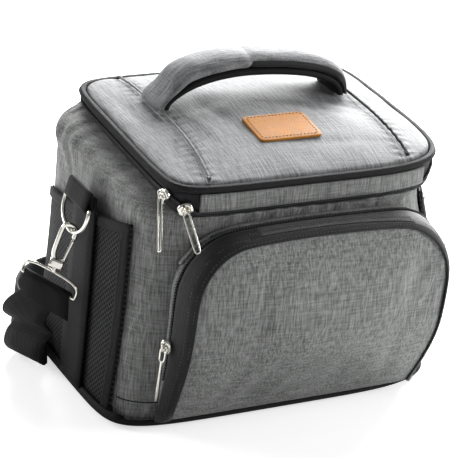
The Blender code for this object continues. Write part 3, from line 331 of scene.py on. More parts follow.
def heather_group():
    """Two-tone yarn: long slubs along the warp, shorter ones along the weft, and a fine weave."""
    group, start, end = new_group(
        "heather_weave",
        [("Place", "NodeSocketVector", None), ("Dark", "NodeSocketColor", (0.06, 0.06, 0.07, 1)),
         ("Light", "NodeSocketColor", (0.4, 0.4, 0.42, 1)),
         ("Warp", "NodeSocketVector", (1, 1, 1)), ("Weft", "NodeSocketVector", (1, 1, 1))],
        [("Color", "NodeSocketColor"), ("Height", "NodeSocketFloat"),
         ("Roughness", "NodeSocketFloat")])
    place = start.outputs["Place"]
    warp = noise_node(group, scaled(group, place, start.outputs["Warp"]), 1.0, 2.5, 0.6)
    weft = noise_node(group, scaled(group, place, start.outputs["Weft"]), 1.0, 2.5, 0.6)
    speck = noise_node(group, place, 900.0, 2.0)
    cloud = noise_node(group, place, 14.0, 2.0)
    warp = stretched(group, warp, 0.36, 0.66)
    weft = stretched(group, weft, 0.34, 0.68)
    yarn = math_node(group, "ADD", math_node(group, "MULTIPLY", warp, 0.50),
                     math_node(group, "MULTIPLY", weft, 0.30))
    yarn = math_node(group, "ADD", yarn, math_node(group, "MULTIPLY", speck, 0.20))
    tone = math_node(group, "ADD", yarn, math_node(group, "MULTIPLY",
                     math_node(group, "SUBTRACT", cloud, 0.5), 0.16), clamp=True)
    colour = mixed(group, tone, start.outputs["Dark"], start.outputs["Light"])
    group.links.new(colour, end.inputs["Color"])
    group.links.new(yarn, end.inputs["Height"])
    rough = math_node(group, "ADD", 0.58, math_node(group, "MULTIPLY", yarn, 0.20))
    group.links.new(rough, end.inputs["Roughness"])
    return group


def rib_group():
    """Woven tape: fine ribs along one way, crossed by a finer thread."""
    group, start, end = new_group(
        "woven_ribs",
        [("Place", "NodeSocketVector", None), ("Dark", "NodeSocketColor", (0.01, 0.01, 0.01, 1)),
         ("Light", "NodeSocketColor", (0.04, 0.04, 0.045, 1)),
         ("Ribs", "NodeSocketVector", (1, 1, 1)), ("Threads", "NodeSocketVector", (1, 1, 1))],
        [("Color", "NodeSocketColor"), ("Height", "NodeSocketFloat"),
         ("Roughness", "NodeSocketFloat")])
    place = start.outputs["Place"]

    def waves(scale):
        dot = group.nodes.new("ShaderNodeVectorMath")
        dot.operation = "DOT_PRODUCT"
        group.links.new(place, dot.inputs[0])
        group.links.new(scale, dot.inputs[1])
        wave = math_node(group, "SINE", dot.outputs["Value"], 0.0)
        return math_node(group, "ADD", math_node(group, "MULTIPLY", wave, 0.5), 0.5)

    ribs, threads = waves(start.outputs["Ribs"]), waves(start.outputs["Threads"])
    fuzz = noise_node(group, place, 700.0, 3.0)
    patch = noise_node(group, place, 22.0, 2.0)
    height = math_node(group, "ADD", math_node(group, "MULTIPLY", ribs, 0.6),
                       math_node(group, "MULTIPLY", threads, 0.4))
    tone = math_node(group, "ADD", math_node(group, "MULTIPLY", height, 0.35),
                     math_node(group, "MULTIPLY", fuzz, 0.35))
    tone = math_node(group, "ADD", tone, math_node(group, "MULTIPLY", patch, 0.3), clamp=True)
    group.links.new(mixed(group, tone, start.outputs["Dark"], start.outputs["Light"]),
                    end.inputs["Color"])
    group.links.new(height, end.inputs["Height"])
    rough = math_node(group, "ADD", 0.55, math_node(group, "MULTIPLY", fuzz, 0.3))
    group.links.new(rough, end.inputs["Roughness"])
    return group


def wear_group():
    """Fine scratches and clouding for polished metal."""
    group, start, end = new_group(
        "fine_wear", [("Place", "NodeSocketVector", None), ("Base", "NodeSocketFloat", 0.1)],
        [("Roughness", "NodeSocketFloat"), ("Height", "NodeSocketFloat"),
         ("Mask", "NodeSocketFloat")])
    place = start.outputs["Place"]
    scratch = noise_node(group, scaled(group, place, (2400.0, 500.0, 260.0)), 1.0, 3.0)
    cloud = noise_node(group, place, 120.0, 3.0)
    group.links.new(math_node(group, "ADD", start.outputs["Base"],
                              math_node(group, "MULTIPLY", cloud, 0.12)),
                    end.inputs["Roughness"])
    group.links.new(scratch, end.inputs["Height"])
    group.links.new(cloud, end.inputs["Mask"])
    return group


def grain_group():
    """Leather: pores and soft creases, darker in the hollows."""
    group, start, end = new_group(
        "leather_grain",
        [("Place", "NodeSocketVector", None), ("Dark", "NodeSocketColor", (0.3, 0.1, 0.02, 1)),
         ("Light", "NodeSocketColor", (0.8, 0.4, 0.1, 1))],
        [("Color", "NodeSocketColor"), ("Height", "NodeSocketFloat"),
         ("Roughness", "NodeSocketFloat")])
    place = start.outputs["Place"]
    cells = group.nodes.new("ShaderNodeTexVoronoi")
    cells.feature = "DISTANCE_TO_EDGE"
    cells.inputs["Scale"].default_value = 1100.0
    group.links.new(place, cells.inputs["Vector"])
    pores = stretched(group, cells.outputs["Distance"], 0.0, 0.12)
    cloud = noise_node(group, place, 90.0, 4.0)
    tone = math_node(group, "ADD", math_node(group, "MULTIPLY", pores, 0.25),
                     math_node(group, "MULTIPLY", cloud, 0.95), clamp=True)
    group.links.new(mixed(group, tone, start.outputs["Dark"], start.outputs["Light"]),
                    end.inputs["Color"])
    group.links.new(math_node(group, "ADD", pores, cloud), end.inputs["Height"])
    group.links.new(math_node(group, "ADD", 0.35, math_node(group, "MULTIPLY", cloud, 0.25)),
                    end.inputs["Roughness"])
    return group


def net_group():
    """A knotted diagonal net: where its threads are, and how they stand out."""
    group, start, end = new_group(
        "diagonal_net", [("Place", "NodeSocketVector", None), ("Pitch", "NodeSocketFloat", 0.0032),
                         ("Thread", "NodeSocketFloat", 0.5)],
        [("Mask", "NodeSocketFloat"), ("Height", "NodeSocketFloat")])
    split = group.nodes.new("ShaderNodeSeparateXYZ")
    group.links.new(start.outputs["Place"], split.inputs[0])
    along = math_node(group, "DIVIDE", split.outputs["Y"], start.outputs["Pitch"])
    up = math_node(group, "DIVIDE", split.outputs["Z"], start.outputs["Pitch"])
    heights = []
    for first, second in ((along, up), (along, math_node(group, "MULTIPLY", up, -1.0))):
        turned = math_node(group, "ADD", first, second)
        nearest = math_node(group, "ABSOLUTE", math_node(
            group, "SUBTRACT", math_node(group, "FRACT", turned, 0.0), 0.5), 0.0)
        heights.append(math_node(group, "SUBTRACT", 0.5, nearest))
    low = math_node(group, "MINIMUM", heights[0], heights[1])
    gap = math_node(group, "MULTIPLY", start.outputs["Thread"], 0.5)
    mask = math_node(group, "LESS_THAN", low, gap)
    group.links.new(mask, end.inputs["Mask"])
    group.links.new(math_node(group, "SUBTRACT", 0.5, low), end.inputs["Height"])
    return group


# ---------------------------------------------------------------- materials

def plain_material(name):
    """A material with its Principled shader and an Object coordinates socket."""
    made = bpy.data.materials.new(name)
    made.use_nodes = True
    tree = made.node_tree
    coordinates = tree.nodes.new("ShaderNodeTexCoord").outputs["Object"]
    return made, tree, tree.nodes["Principled BSDF"], coordinates


def place_group(tree, group, coordinates, **values):
    """A shader group in a material, with its own values."""
    node = tree.nodes.new("ShaderNodeGroup")
    node.node_tree = group
    tree.links.new(coordinates, node.inputs["Place"])
    for label, value in values.items():
        node.inputs[label].default_value = value
    return node


def bumped(tree, shader, height, strength, distance):
    """A Bump node between a height and the shader."""
    bump = tree.nodes.new("ShaderNodeBump")
    bump.inputs["Strength"].default_value = strength
    bump.inputs["Distance"].default_value = distance
    tree.links.new(height, bump.inputs["Height"])
    tree.links.new(bump.outputs["Normal"], shader.inputs["Normal"])


def black_share(tree, colour):
    """The colour, turning black where the piece's own values in "black" pass a half."""
    values = tree.nodes.new("ShaderNodeAttribute")
    values.attribute_name = "black"
    share = stretched(tree, values.outputs["Fac"], 0.47, 0.53)
    return mixed(tree, share, colour, BLACK_CLOTH)


def heather(name, groups, warp, weft, yarns, parted=True):
    """Heather cloth of a dark and a light yarn, black where a parted piece says so."""
    dark, light = yarns
    made, tree, shader, coordinates = plain_material(name)
    node = place_group(tree, groups["heather"], coordinates, Dark=(*dark, 1), Light=(*light, 1),
                       Warp=warp, Weft=weft)
    colour = node.outputs["Color"]
    colour = black_share(tree, colour) if parted else colour
    tree.links.new(colour, shader.inputs["Base Color"])
    tree.links.new(node.outputs["Roughness"], shader.inputs["Roughness"])
    shader.inputs["Sheen Weight"].default_value = 0.12
    shader.inputs["Sheen Roughness"].default_value = 0.5
    shader.inputs["Specular IOR Level"].default_value = 0.35
    bumped(tree, shader, node.outputs["Height"], 0.5, 0.0006)
    return made


def tape(name, groups, ribs, threads, dark, light):
    """Woven tape, webbing or thread."""
    made, tree, shader, coordinates = plain_material(name)
    node = place_group(tree, groups["ribs"], coordinates, Dark=(*dark, 1), Light=(*light, 1),
                       Ribs=ribs, Threads=threads)
    tree.links.new(node.outputs["Color"], shader.inputs["Base Color"])
    tree.links.new(node.outputs["Roughness"], shader.inputs["Roughness"])
    shader.inputs["Specular IOR Level"].default_value = 0.22
    bumped(tree, shader, node.outputs["Height"], 0.6, 0.0004)
    return made


def metal(name, groups, colour, base):
    """Polished plating with fine wear."""
    made, tree, shader, coordinates = plain_material(name)
    node = place_group(tree, groups["wear"], coordinates, Base=base)
    dim = tuple(0.86 * value for value in colour)
    colour = mixed(tree, node.outputs["Mask"], (*dim, 1.0), (*colour, 1.0))
    tree.links.new(colour, shader.inputs["Base Color"])
    shader.inputs["Metallic"].default_value = 1.0
    tree.links.new(node.outputs["Roughness"], shader.inputs["Roughness"])
    bumped(tree, shader, node.outputs["Height"], 0.08, 0.0001)
    return made


def leather(name, groups, dark, light):
    """Smooth grained leather."""
    made, tree, shader, coordinates = plain_material(name)
    node = place_group(tree, groups["grain"], coordinates, Dark=(*dark, 1), Light=(*light, 1))
    tree.links.new(node.outputs["Color"], shader.inputs["Base Color"])
    tree.links.new(node.outputs["Roughness"], shader.inputs["Roughness"])
    shader.inputs["Specular IOR Level"].default_value = 0.18
    bumped(tree, shader, node.outputs["Height"], 0.35, 0.0002)
    return made


def net(name, groups):
    """Black net: paler threads crossing a dark ground that is painted shade of the cloth behind,
    partly its dark lining.
    """
    made, tree, shader, coordinates = plain_material(name)
    node = place_group(tree, groups["net"], coordinates, Pitch=NET_PITCH, Thread=NET_SHARE)
    fuzz = noise_node(tree, coordinates, 260.0, 2.0)
    thread = mixed(tree, fuzz, *NET_THREADS)
    # the gap colour is painted shade of the cloth behind the net, partly its dark lining
    tree.links.new(mixed(tree, node.outputs["Mask"], NET_GAP_SHADE, thread),
                   shader.inputs["Base Color"])
    shader.inputs["Roughness"].default_value = 0.7
    shader.inputs["Specular IOR Level"].default_value = 0.12
    bumped(tree, shader, node.outputs["Height"], 0.5, 0.0005)
    return made


def make_finishes():
    """Every material of the bag, by a short name."""
    groups = {"heather": heather_group(), "ribs": rib_group(), "wear": wear_group(),
              "grain": grain_group(), "net": net_group()}
    return {
        "upright": heather("heather_upright", groups, (FINE, FINE, LONG), (LONG, LONG, FINE),
                           WALL_YARNS),
        "border": heather("heather_border", groups, (FINE, FINE, LONG), (LONG, LONG, FINE),
                          BORDER_YARNS),
        "top": heather("heather_top", groups, (FINE, LONG, LONG), (LONG, FINE, LONG),
                       GREY_YARNS, parted=False),
        "grip": heather("heather_grip", groups, (LONG, FINE, LONG), (FINE, LONG, FINE),
                        GREY_YARNS),
        "webbing": tape("black_webbing", groups, (0.0, 3600.0, 0.0), (0.0, 0.0, 5200.0),
                        (0.003, 0.003, 0.0035), (0.014, 0.014, 0.015)),
        "strap": tape("black_strap", groups, (2600.0, 2600.0, 0.0), (0.0, 0.0, 4200.0),
                      (0.004, 0.004, 0.0045), (0.016, 0.016, 0.017)),
        "tape": tape("zip_tape", groups, (2600.0, 2600.0, 0.0), (0.0, 0.0, 3800.0),
                     (0.016, 0.016, 0.018), (0.045, 0.046, 0.050)),
        "piping": tape("black_piping", groups, (3000.0, 3000.0, 0.0), (0.0, 0.0, 3000.0),
                       (0.005, 0.005, 0.006), (0.018, 0.018, 0.020)),
        "coil": tape("black_coil", groups, (4200.0, 4200.0, 0.0), (0.0, 0.0, 4200.0),
                     (0.004, 0.004, 0.0045), (0.016, 0.016, 0.018)),
        "thread": tape("black_thread", groups, (9000.0, 0.0, 0.0), (0.0, 9000.0, 0.0),
                       (0.008, 0.008, 0.009), (0.03, 0.03, 0.032)),
        # painted highlight: this thread's pale grey stands in for the highlights along the black
        # stitch lines of the pocket's border
        "painted_highlight_thread": tape("painted_highlight_thread", groups, (9000.0, 0.0, 0.0), (0.0, 9000.0, 0.0),
                            (0.04, 0.04, 0.043), (0.12, 0.12, 0.125)),
        "teeth": tape("zip_teeth", groups, (0.0, 0.0, 0.0), (0.0, 0.0, 0.0),
                      (0.05, 0.05, 0.053), (0.20, 0.20, 0.21)),
        "grey_thread": tape("grey_thread", groups, (9000.0, 0.0, 0.0), (0.0, 9000.0, 0.0),
                            (0.14, 0.14, 0.15), (0.34, 0.34, 0.36)),
        "tan_thread": tape("tan_thread", groups, (9000.0, 0.0, 0.0), (0.0, 9000.0, 0.0),
                           (0.05, 0.018, 0.005), (0.14, 0.05, 0.014)),
        "net": net("black_net", groups),
        "nickel": metal("bright_nickel", groups, (0.93, 0.91, 0.84), 0.09),
        "leather": leather("tan_leather_grain", groups, (0.27, 0.085, 0.002),
                           (0.52, 0.200, 0.006)),
    }


# ---------------------------------------------------------------- shaping tools

def merged(node):
    """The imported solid's mesh as a bmesh, with its loose triangles joined again."""
    shape = bmesh.new()
    shape.from_mesh(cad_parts[node].data)
    bmesh.ops.remove_doubles(shape, verts=shape.verts, dist=MERGE)
    bmesh.ops.join_triangles(shape, faces=shape.faces[:], angle_face_threshold=math.radians(35),
                             angle_shape_threshold=math.radians(75))
    return shape


def crease(shape, angle):
    """Keeps the edges sharper than an angle from being rounded."""
    layer = shape.edges.layers.float.get("crease_edge")
    layer = layer or shape.edges.layers.float.new("crease_edge")
    for edge in shape.edges:
        if edge.calc_face_angle(0.0) > math.radians(angle):
            edge[layer] = 1.0


def as_object(name, shape, material):
    """A bmesh as a named mesh object with smooth faces."""
    mesh = bpy.data.meshes.new(name)
    shape.to_mesh(mesh)
    shape.free()
    mesh.materials.clear()
    mesh.materials.append(material)
    made = bpy.data.objects.new(name, mesh)
    bpy.context.scene.collection.objects.link(made)
    for face in mesh.polygons:
        face.use_smooth = True
    return made


def rounded(piece, levels):
    """Subdivides a piece and keeps the result as its mesh."""
    step = piece.modifiers.new("round", "SUBSURF")
    step.levels = step.render_levels = levels
    settle(piece)
    return piece


def settle(piece):
    """Applies a piece's modifiers to its mesh."""
    graph = bpy.context.evaluated_depsgraph_get()
    mesh = bpy.data.meshes.new_from_object(piece.evaluated_get(graph))
    piece.modifiers.clear()
    piece.data = mesh
    for face in mesh.polygons:
        face.use_smooth = True


def push(piece, amount):
    """Moves each point of a piece along its normal by amount(point, normal)."""
    mesh = piece.data
    moved = [vertex.co + vertex.normal * amount(vertex.co, vertex.normal)
             for vertex in mesh.vertices]
    for vertex, place in zip(mesh.vertices, moved):
        vertex.co = place
    mesh.update()


def dress(node, name, material, body="bag", levels=2, angle=50.0):
    """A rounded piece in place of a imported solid."""
    shape = merged(node)
    crease(shape, angle)
    piece = rounded(as_object(name, shape, material), levels)
    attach(piece, body)
    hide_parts(node)
    return piece


def tree_of(piece):
    """A piece's surface, for casting rays onto it."""
    mesh = piece.data
    return BVHTree.FromPolygons([vertex.co for vertex in mesh.vertices],
                                [tuple(face.vertices) for face in mesh.polygons])


def cast(tree, points, way):
    """Where rays from points along one way meet a surface, with its normal there."""
    found = []
    for point in points:
        spot, normal, _, _ = tree.ray_cast(Vector(point), Vector(way).normalized())
        if spot is not None:
            found.append((spot, normal if normal.dot(Vector(way)) < 0 else -normal))
    return found


def stations(node, sides, middle, flat):
    """A swept solid's cross-sections in order round a middle, each as its own few points.

    flat is the index of the axis that the sweep turns round.
    """
    shape = merged(node)
    first, second = [axis for axis in range(3) if axis != flat]

    def turn(point):
        return math.atan2(point[second] - middle[1], point[first] - middle[0])

    points = sorted((vertex.co.copy() for vertex in shape.verts), key=turn)
    shape.free()
    return [points[i:i + sides] for i in range(0, len(points) - sides + 1, sides)]


def evenly(line, pitch, closed=False):
    """Places at one pitch along a line of (point, normal): point, way along and normal."""
    rows = line + [line[0]] if closed else line
    out, ahead = [], pitch / 2
    for (start, n0), (end, n1) in zip(rows, rows[1:]):
        run = end - start
        length = run.length
        while length > 1e-9 and ahead <= length:
            share = ahead / length
            out.append((start + run * share, run.normalized(), n0.lerp(n1, share).normalized()))
            ahead += pitch
        ahead -= length
    return out


def sew_cord(name, line, material, radius):
    """A fine cord along a line of (point, normal), half sunk in the cloth."""
    small_row(name, evenly(line, 2.4 * radius), (6.0 * radius, 2 * radius, 2 * radius), material,
              0.2 * radius)


def small_row(name, places, size, material, lift):
    """One piece of many small rounded bits: each size[0] along its line, size[1] across it."""
    shape = bmesh.new()
    for point, along, normal in places:
        across = normal.cross(along).normalized()
        turn = Matrix((along, across, along.cross(across))).transposed().to_4x4()
        turn = Matrix.Translation(point + normal * lift) @ turn
        shrink = Matrix.Diagonal((size[0] / 2, size[1] / 2, size[2] / 2, 1.0))
        bmesh.ops.create_icosphere(shape, subdivisions=1, radius=1.0, matrix=turn @ shrink)
    piece = as_object(name, shape, material)
    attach(piece, "bag")


def stitch(name, line, size, thread, closed=False):
    """Stitches along a line of (point, normal)."""
    small_row(name, evenly(line, STITCH_PITCH, closed), size, thread, STITCH_LIFT)


def teeth(name, line, look, material, closed=False):
    """Zip teeth along a line of (point, normal)."""
    pitch, size, lift = look
    small_row(name, evenly(line, pitch, closed), size, material, lift)


# ---------------------------------------------------------------- the bag

def soft_noise(point, size, seed):
    """Smooth noise from -1 to 1, with hollows about one size across."""
    return noise.noise(point / size + Vector((seed, seed * 1.7, seed * 2.3)))


def bell(*shares):
    """1 at the middle of a soft spot, falling off with each share of its half size."""
    return math.exp(-sum(share * share for share in shares))


# soft folds, each on one face: place, direction in degrees, half length, half width and depth
POCKET_FOLDS = [
    # x, z, turn, length, width, depth
    (-0.071, 0.118, 84.0, 0.040, 0.0065, 0.0016),
    (0.078, 0.125, 80.0, 0.038, 0.0090, 0.0024),
    (0.104, 0.138, 62.0, 0.020, 0.0050, -0.0016),
    (0.098, 0.120, 70.0, 0.024, 0.0045, 0.0016),
    (0.020, 0.048, 72.0, 0.030, 0.0100, 0.0012),
    (-0.060, 0.040, 60.0, 0.034, 0.0070, 0.0012),
    (-0.040, 0.034, 63.0, 0.034, 0.0060, -0.0010),
    (-0.085, 0.046, 66.0, 0.030, 0.0060, 0.0012),
    (0.070, 0.050, 100.0, 0.026, 0.0080, 0.0014),
    (0.010, 0.110, 88.0, 0.036, 0.0120, 0.0010),
]
LID_FOLDS = [
    # x, y, turn, length, width, depth
    (0.072, -0.004, 150.0, 0.026, 0.013, 0.0036),
    (0.050, -0.020, 160.0, 0.030, 0.009, 0.0018),
    (-0.058, 0.010, 35.0, 0.024, 0.009, 0.0026),
    (-0.050, -0.018, 100.0, 0.034, 0.007, 0.0012),
    (-0.072, -0.030, 96.0, 0.030, 0.005, -0.0010),
    (-0.116, 0.020, 92.0, 0.036, 0.007, 0.0014),
    (-0.112, -0.060, 80.0, 0.030, 0.006, 0.0012),
    (0.030, -0.076, 176.0, 0.040, 0.006, 0.0008),
]
SIDE_FOLDS = [
    # y, z, turn, length, width, depth
    (-0.060, 0.196, 62.0, 0.030, 0.0060, 0.0016),
    (-0.030, 0.200, 80.0, 0.030, 0.0070, 0.0014),
    (0.010, 0.196, 96.0, 0.028, 0.0080, 0.0012),
    (-0.090, 0.150, 86.0, 0.050, 0.0060, 0.0012),
    (0.050, 0.196, 80.0, 0.024, 0.0052, 0.0034),
    (0.066, 0.198, 86.0, 0.020, 0.0042, 0.0020),
    (0.032, 0.203, 70.0, 0.018, 0.0050, 0.0018),
    (0.084, 0.190, 90.0, 0.024, 0.0050, 0.0012),
]


def folded(table, across, up):
    """How deep a table's folds go at a place on their face."""
    depth = 0.0
    for x, z, turn, length, width, amount in table:
        cos, sin = math.cos(math.radians(turn)), math.sin(math.radians(turn))
        dx, dz = across - x, up - z
        depth += amount * bell((dx * cos + dz * sin) / length, (dz * cos - dx * sin) / width)
    return depth


def body_move(point, normal):
    """The body's padding: a full back-left shoulder, gathers under the lid and soft folds."""
    if normal.dot(Vector((point.x, point.y, 0.0))) <= 0 or point.z > RIM_HEIGHT:
        return 0.0
    amount = 0.0009 * soft_noise(point, 0.035, 3.0)
    if point.x < -0.10:
        y, z, long, high, swell = SHOULDER
        amount += swell * bell((point.y - y) / long, (point.z - z) / high)
        y, z, ring, width, closeness, depth = GATHERS
        dy, dz = point.y - y, point.z - z
        away, spoke = math.hypot(dy, dz), math.atan2(dy, -dz)
        amount += depth * math.cos(closeness * spoke) * bell((away - ring) / width)
        amount -= folded(SIDE_FOLDS, point.y, point.z)
    if point.y < -0.08:
        amount += 0.0007 * math.sin(point.x * 330.0 + 6.0 * soft_noise(point, 0.03, 2.0)) \
            * bell((point.z - 0.190) / 0.012)
    return amount


def seam_x(side, y):
    """Where the lid's left or right seam is at y."""
    return side * SEAM_X - SEAM_BOW * (max(-y, 0.0) / SEAM_REACH) ** 2


def lid_move(point, normal):
    """The lid's padding: puckers along its seams, and dents beside the handle's feet."""
    if normal.z < 0.2:
        return 0.0
    amount = 0.0008 * soft_noise(point, 0.030, 8.0)
    seam = min(abs(point.x - seam_x(side, point.y)) for side in (-1, 1))
    pucker = math.sin(point.y * 640.0 + 4.0 * soft_noise(point, 0.02, 4.0))
    amount += 0.00045 * pucker * bell((seam - 0.005) / 0.005)
    amount -= 0.0012 * bell(seam / 0.0025)
    return amount - folded(LID_FOLDS, point.x, point.y)


def pocket_move(point, normal):
    """The pocket's front panel: slack cloth with a few long folds."""
    if normal.y > -0.3 or point.y > -0.12:
        return 0.0
    return 0.0012 * soft_noise(point, 0.045, 1.0) - folded(POCKET_FOLDS, point.x, point.z)


def hem_share(point):
    """The body is black in the hem under the net pockets."""
    x, y, z = BLACK_HEM
    return min((z - point.z) / 0.002, (abs(point.x) - x) / 0.004, (point.y - y) / 0.003)


def raise_trim(trim):
    """Brings the upper edge of the base's binding up to the side pieces' hems."""
    start, blend, height, front, rise = TRIM_RISE
    for vertex in trim.data.vertices:
        side = min(max((abs(vertex.co.x) - start) / blend, 0.0), 1.0)
        if vertex.co.z > height and vertex.co.y > front:
            vertex.co.z += rise * side


def dress_body(finish):
    """The padded walls, the base's bound edge and the body's seams."""
    body = dress("body_shell", "body_cloth", finish["upright"], levels=3,
                 angle=70)
    mark_black(body, hem_share)
    push(body, body_move)
    trim = dress("base_binding", "base_trim", finish["piping"], levels=2)
    push(trim, lambda point, normal: 0.0005)
    raise_trim(trim)
    tree = tree_of(body)
    start, run, back = SHOULDER_SEAM
    points = [(start + run * i / 20, back, FAR) for i in range(21)]
    sew_cord("shoulder_seam", cast(tree, points, (0, 0, -1)), finish["thread"], SHOULDER_CORD)
    height, side_start, side_run, front_start, front_run = BASE_SEAM
    points = [(-FAR, side_start + side_run * i / 20, height) for i in range(17)]
    line = cast(tree, points, (1, 0, 0))
    points = [(front_start + front_run * i / 20, -FAR, height) for i in range(6, 21)]
    sew_cord("base_seam", line + cast(tree, points, (0, 1, 0)), finish["thread"], SEAM_CORD)


def dress_lid(finish):
    """The lid with its lining, its border, its zip and its two seams."""
    lining = dress("lid_panel", "lid_lining", finish["piping"], levels=1)
    for vertex in lining.data.vertices:
        x, y, z = vertex.co
        inner = min((1.0 - max(abs(x) / LID_HALF[0], abs(y) / LID_HALF[1])) / 0.20, 1.0)
        vertex.co = Vector((x * LINING_GROWTH[0], y * LINING_GROWTH[1],
                            z - LINING_DROP - LINING_HOLLOW * max(inner, 0.0)))
    lid = dress("lid_panel", "lid_cloth", finish["top"], levels=3, angle=80)
    push(lid, lambda point, normal: 0.0005)
    push(lid, lid_move)
    cord = dress("lid_piping", "lid_cord_edge", finish["piping"], levels=2)
    push(cord, lambda point, normal: 0.0006)
    band = dress("zip_band", "zip_tape_band", finish["tape"], levels=2)
    push(band, lambda point, normal: 0.0006)
    coil = dress("lid_zip", "lid_zip_coil", finish["coil"], levels=2)
    push(coil, lambda point, normal: 0.0002)
    dress("lid_front_strip", "lid_front_flap", finish["upright"], levels=2)
    tree = tree_of(lid)
    for word, name, cloth, slot in (
            ("left", "lid_seam_ridge_left", "top", "heather_cloth"),
            ("right", "lid_seam_cord_right", "piping", "black_cloth")):
        seam = dress(f"lid_seam_{word}", name, finish[cloth], levels=2)
        for vertex in seam.data.vertices:
            x, y, z = vertex.co
            reach = y * SEAM_STRETCH[word]
            now = cast(tree, [(x, y, FAR)], (0, 0, -1))
            later = cast(tree, [(x, reach, FAR)], (0, 0, -1))
            if now and later:
                vertex.co = Vector((x, reach, z + later[0][0].z - now[0][0].z))
        push(seam, lambda point, normal: -0.0001)
    return lid


def spread_foot(piece):
    """Brings the handle's left foot out to the lid's seam, as a slanting flap."""
    side, height, drop, reach = FOOT
    for vertex in piece.data.vertices:
        if vertex.co.x < side:
            low = min(max((height - vertex.co.z) / drop, 0.0), 1.0)
            vertex.co.x -= reach * low * low * (3 - 2 * low)


def mark_black(piece, share):
    """Keeps how black each point of a piece is, by share(point), for its material."""
    values = piece.data.attributes.new("black", "FLOAT", "POINT")
    for vertex, value in zip(piece.data.vertices, values.data):
        value.value = min(max(share(vertex.co), 0.0), 1.0)


def dress_handle(finish):
    """The padded grip with its open-ended wrap, and the black webbing under it."""
    grip = dress("handle_grip", "handle_cloth", finish["grip"], levels=3)
    under = dress("handle_webbing", "handle_under", finish["webbing"], levels=2)
    tree = tree_of(under)

    def share(point):
        _, _, _, away = tree.find_nearest(point)
        start = WRAP_END + 0.7 * max(away - 0.004, 0.0)
        bare = min((point.x - start) / 0.004 + 0.5, 1.0)
        return min(bare, (UNDERSIDE - away) / 0.004 + 0.5)

    mark_black(grip, share)
    push(grip, lambda point, normal: 0.0007 * soft_noise(point, 0.018, 5.0)
         - 0.0010 * bell((point.x + 0.012) / 0.004))
    for vertex in under.data.vertices:
        vertex.co.y = HANDLE_LINE + (vertex.co.y - HANDLE_LINE) * UNDER_SPREAD
    push(under, lambda point, normal: 0.0011)
    spread_foot(grip)
    spread_foot(under)


def dress_patch(finish):
    """The leather patch with a stitch line inside its edge."""
    patch = dress("leather_patch", "patch_leather", finish["leather"], levels=2)
    low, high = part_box("leather_patch")
    middle = (low + high) / 2
    half = Vector(((high.x - low.x) / 2 - 0.0034, (high.y - low.y) / 2 - 0.0034))
    corner = 0.0035
    points = []
    for quarter, (sx, sy) in enumerate(((1, 1), (-1, 1), (-1, -1), (1, -1))):
        for step in range(5):
            turn = math.radians(90 * quarter + 22.5 * step)
            points.append((middle.x + sx * (half.x - corner) + corner * math.cos(turn),
                           middle.y + sy * (half.y - corner) + corner * math.sin(turn), FAR))
    line = cast(tree_of(patch), points, (0, 0, -1))
    stitch("patch_stitches", line, PATCH_STITCH, finish["tan_thread"], True)


def tuck_right(piece, amount):
    """Draws the pocket's lower right corner in towards the base."""
    start, width, height, drop = CORNER
    for vertex in piece.data.vertices:
        if vertex.co.x > start and vertex.co.z < height:
            side = min((vertex.co.x - start) / width, 1.0)
            vertex.co.x -= amount * side * min((height - vertex.co.z) / drop, 1.0) ** 1.5


def border_share(point):
    """The border is black, but for the grey half of the gusset that runs over the pocket's top."""
    over = min((point.z - GREY_LOW) / GREY_RISE, (point.x - GREY_LEFT) / GREY_RUN)
    back = (point.y - GREY_FRONT) / GREY_BLEND
    return 1.0 - min(over, back)


def dress_pocket(finish):
    """The front pocket, its border, its zip and the gusset behind it."""
    pocket = dress("front_pocket", "pocket_cloth", finish["upright"], levels=3,
                   angle=70)
    push(pocket, pocket_move)
    tuck_right(pocket, 0.0050)
    border = dress("pocket_band", "pocket_border", finish["border"], levels=2)
    mark_black(border, border_share)
    tuck_right(border, 0.0075)
    dress("pocket_zip", "pocket_zip_coil", finish["coil"], levels=1)
    dress("pocket_gusset", "pocket_gusset_cloth", finish["upright"], levels=2)
    middle = POCKET_MIDDLE
    start, run = TOP_ROWS
    tree = tree_of(border)
    outer = [max(ring, key=lambda point: math.hypot(point.x - middle[0], point.z - middle[1]))
             for ring in stations("pocket_band", 8, middle, 1)]
    # the border's two stitch rows take the pale thread, a painted highlight on their black
    # stitching
    for name, share in (("pocket_stitches_inner", 0.941), ("pocket_stitches_outer", 0.968)):
        points = [(middle[0] + (point.x - middle[0]) * share, -FAR,
                   middle[1] + (point.z - middle[1]) * share) for point in outer]
        line = split_row(cast(tree, points, (0, 1, 0)), 0.03)
        stitch(name, line, BORDER_STITCH, finish["painted_highlight_thread"])
    edge, top = ([(start + run * i / 60, y, FAR) for i in range(61)]
                 for y in (EDGE_LINE, TEETH_LINE))
    sew_cord("pocket_edge_line", cast(tree, edge, (0, 0, -1)), finish["thread"], SEAM_CORD)
    teeth("pocket_top_teeth", cast(tree, top, (0, 0, -1)), TOP_TEETH, finish["teeth"])
    line = []
    for ring in stations("pocket_zip", 4, middle, 1):
        centre = sum(ring, Vector()) / len(ring)
        out = Vector((centre.x - middle[0], -0.01, centre.z - middle[1])).normalized()
        line.append((centre, out))
    teeth("pocket_zip_teeth", split_row(line, 0.06), POCKET_TEETH, finish["teeth"])


def split_row(line, gap):
    """Turns a row of places so that its widest break comes at its ends."""
    steps = [(line[i][0] - line[i - 1][0]).length for i in range(len(line))]
    worst = max(range(len(line)), key=lambda i: steps[i])
    return line[worst:] + line[:worst] if steps[worst] > gap else line


def drop_hem(piece):
    """Brings a side piece's lower edge down to the base's bound edge."""
    for vertex in piece.data.vertices:
        if vertex.co.z < HEM:
            vertex.co.z -= HEM_DROP * (HEM - vertex.co.z)


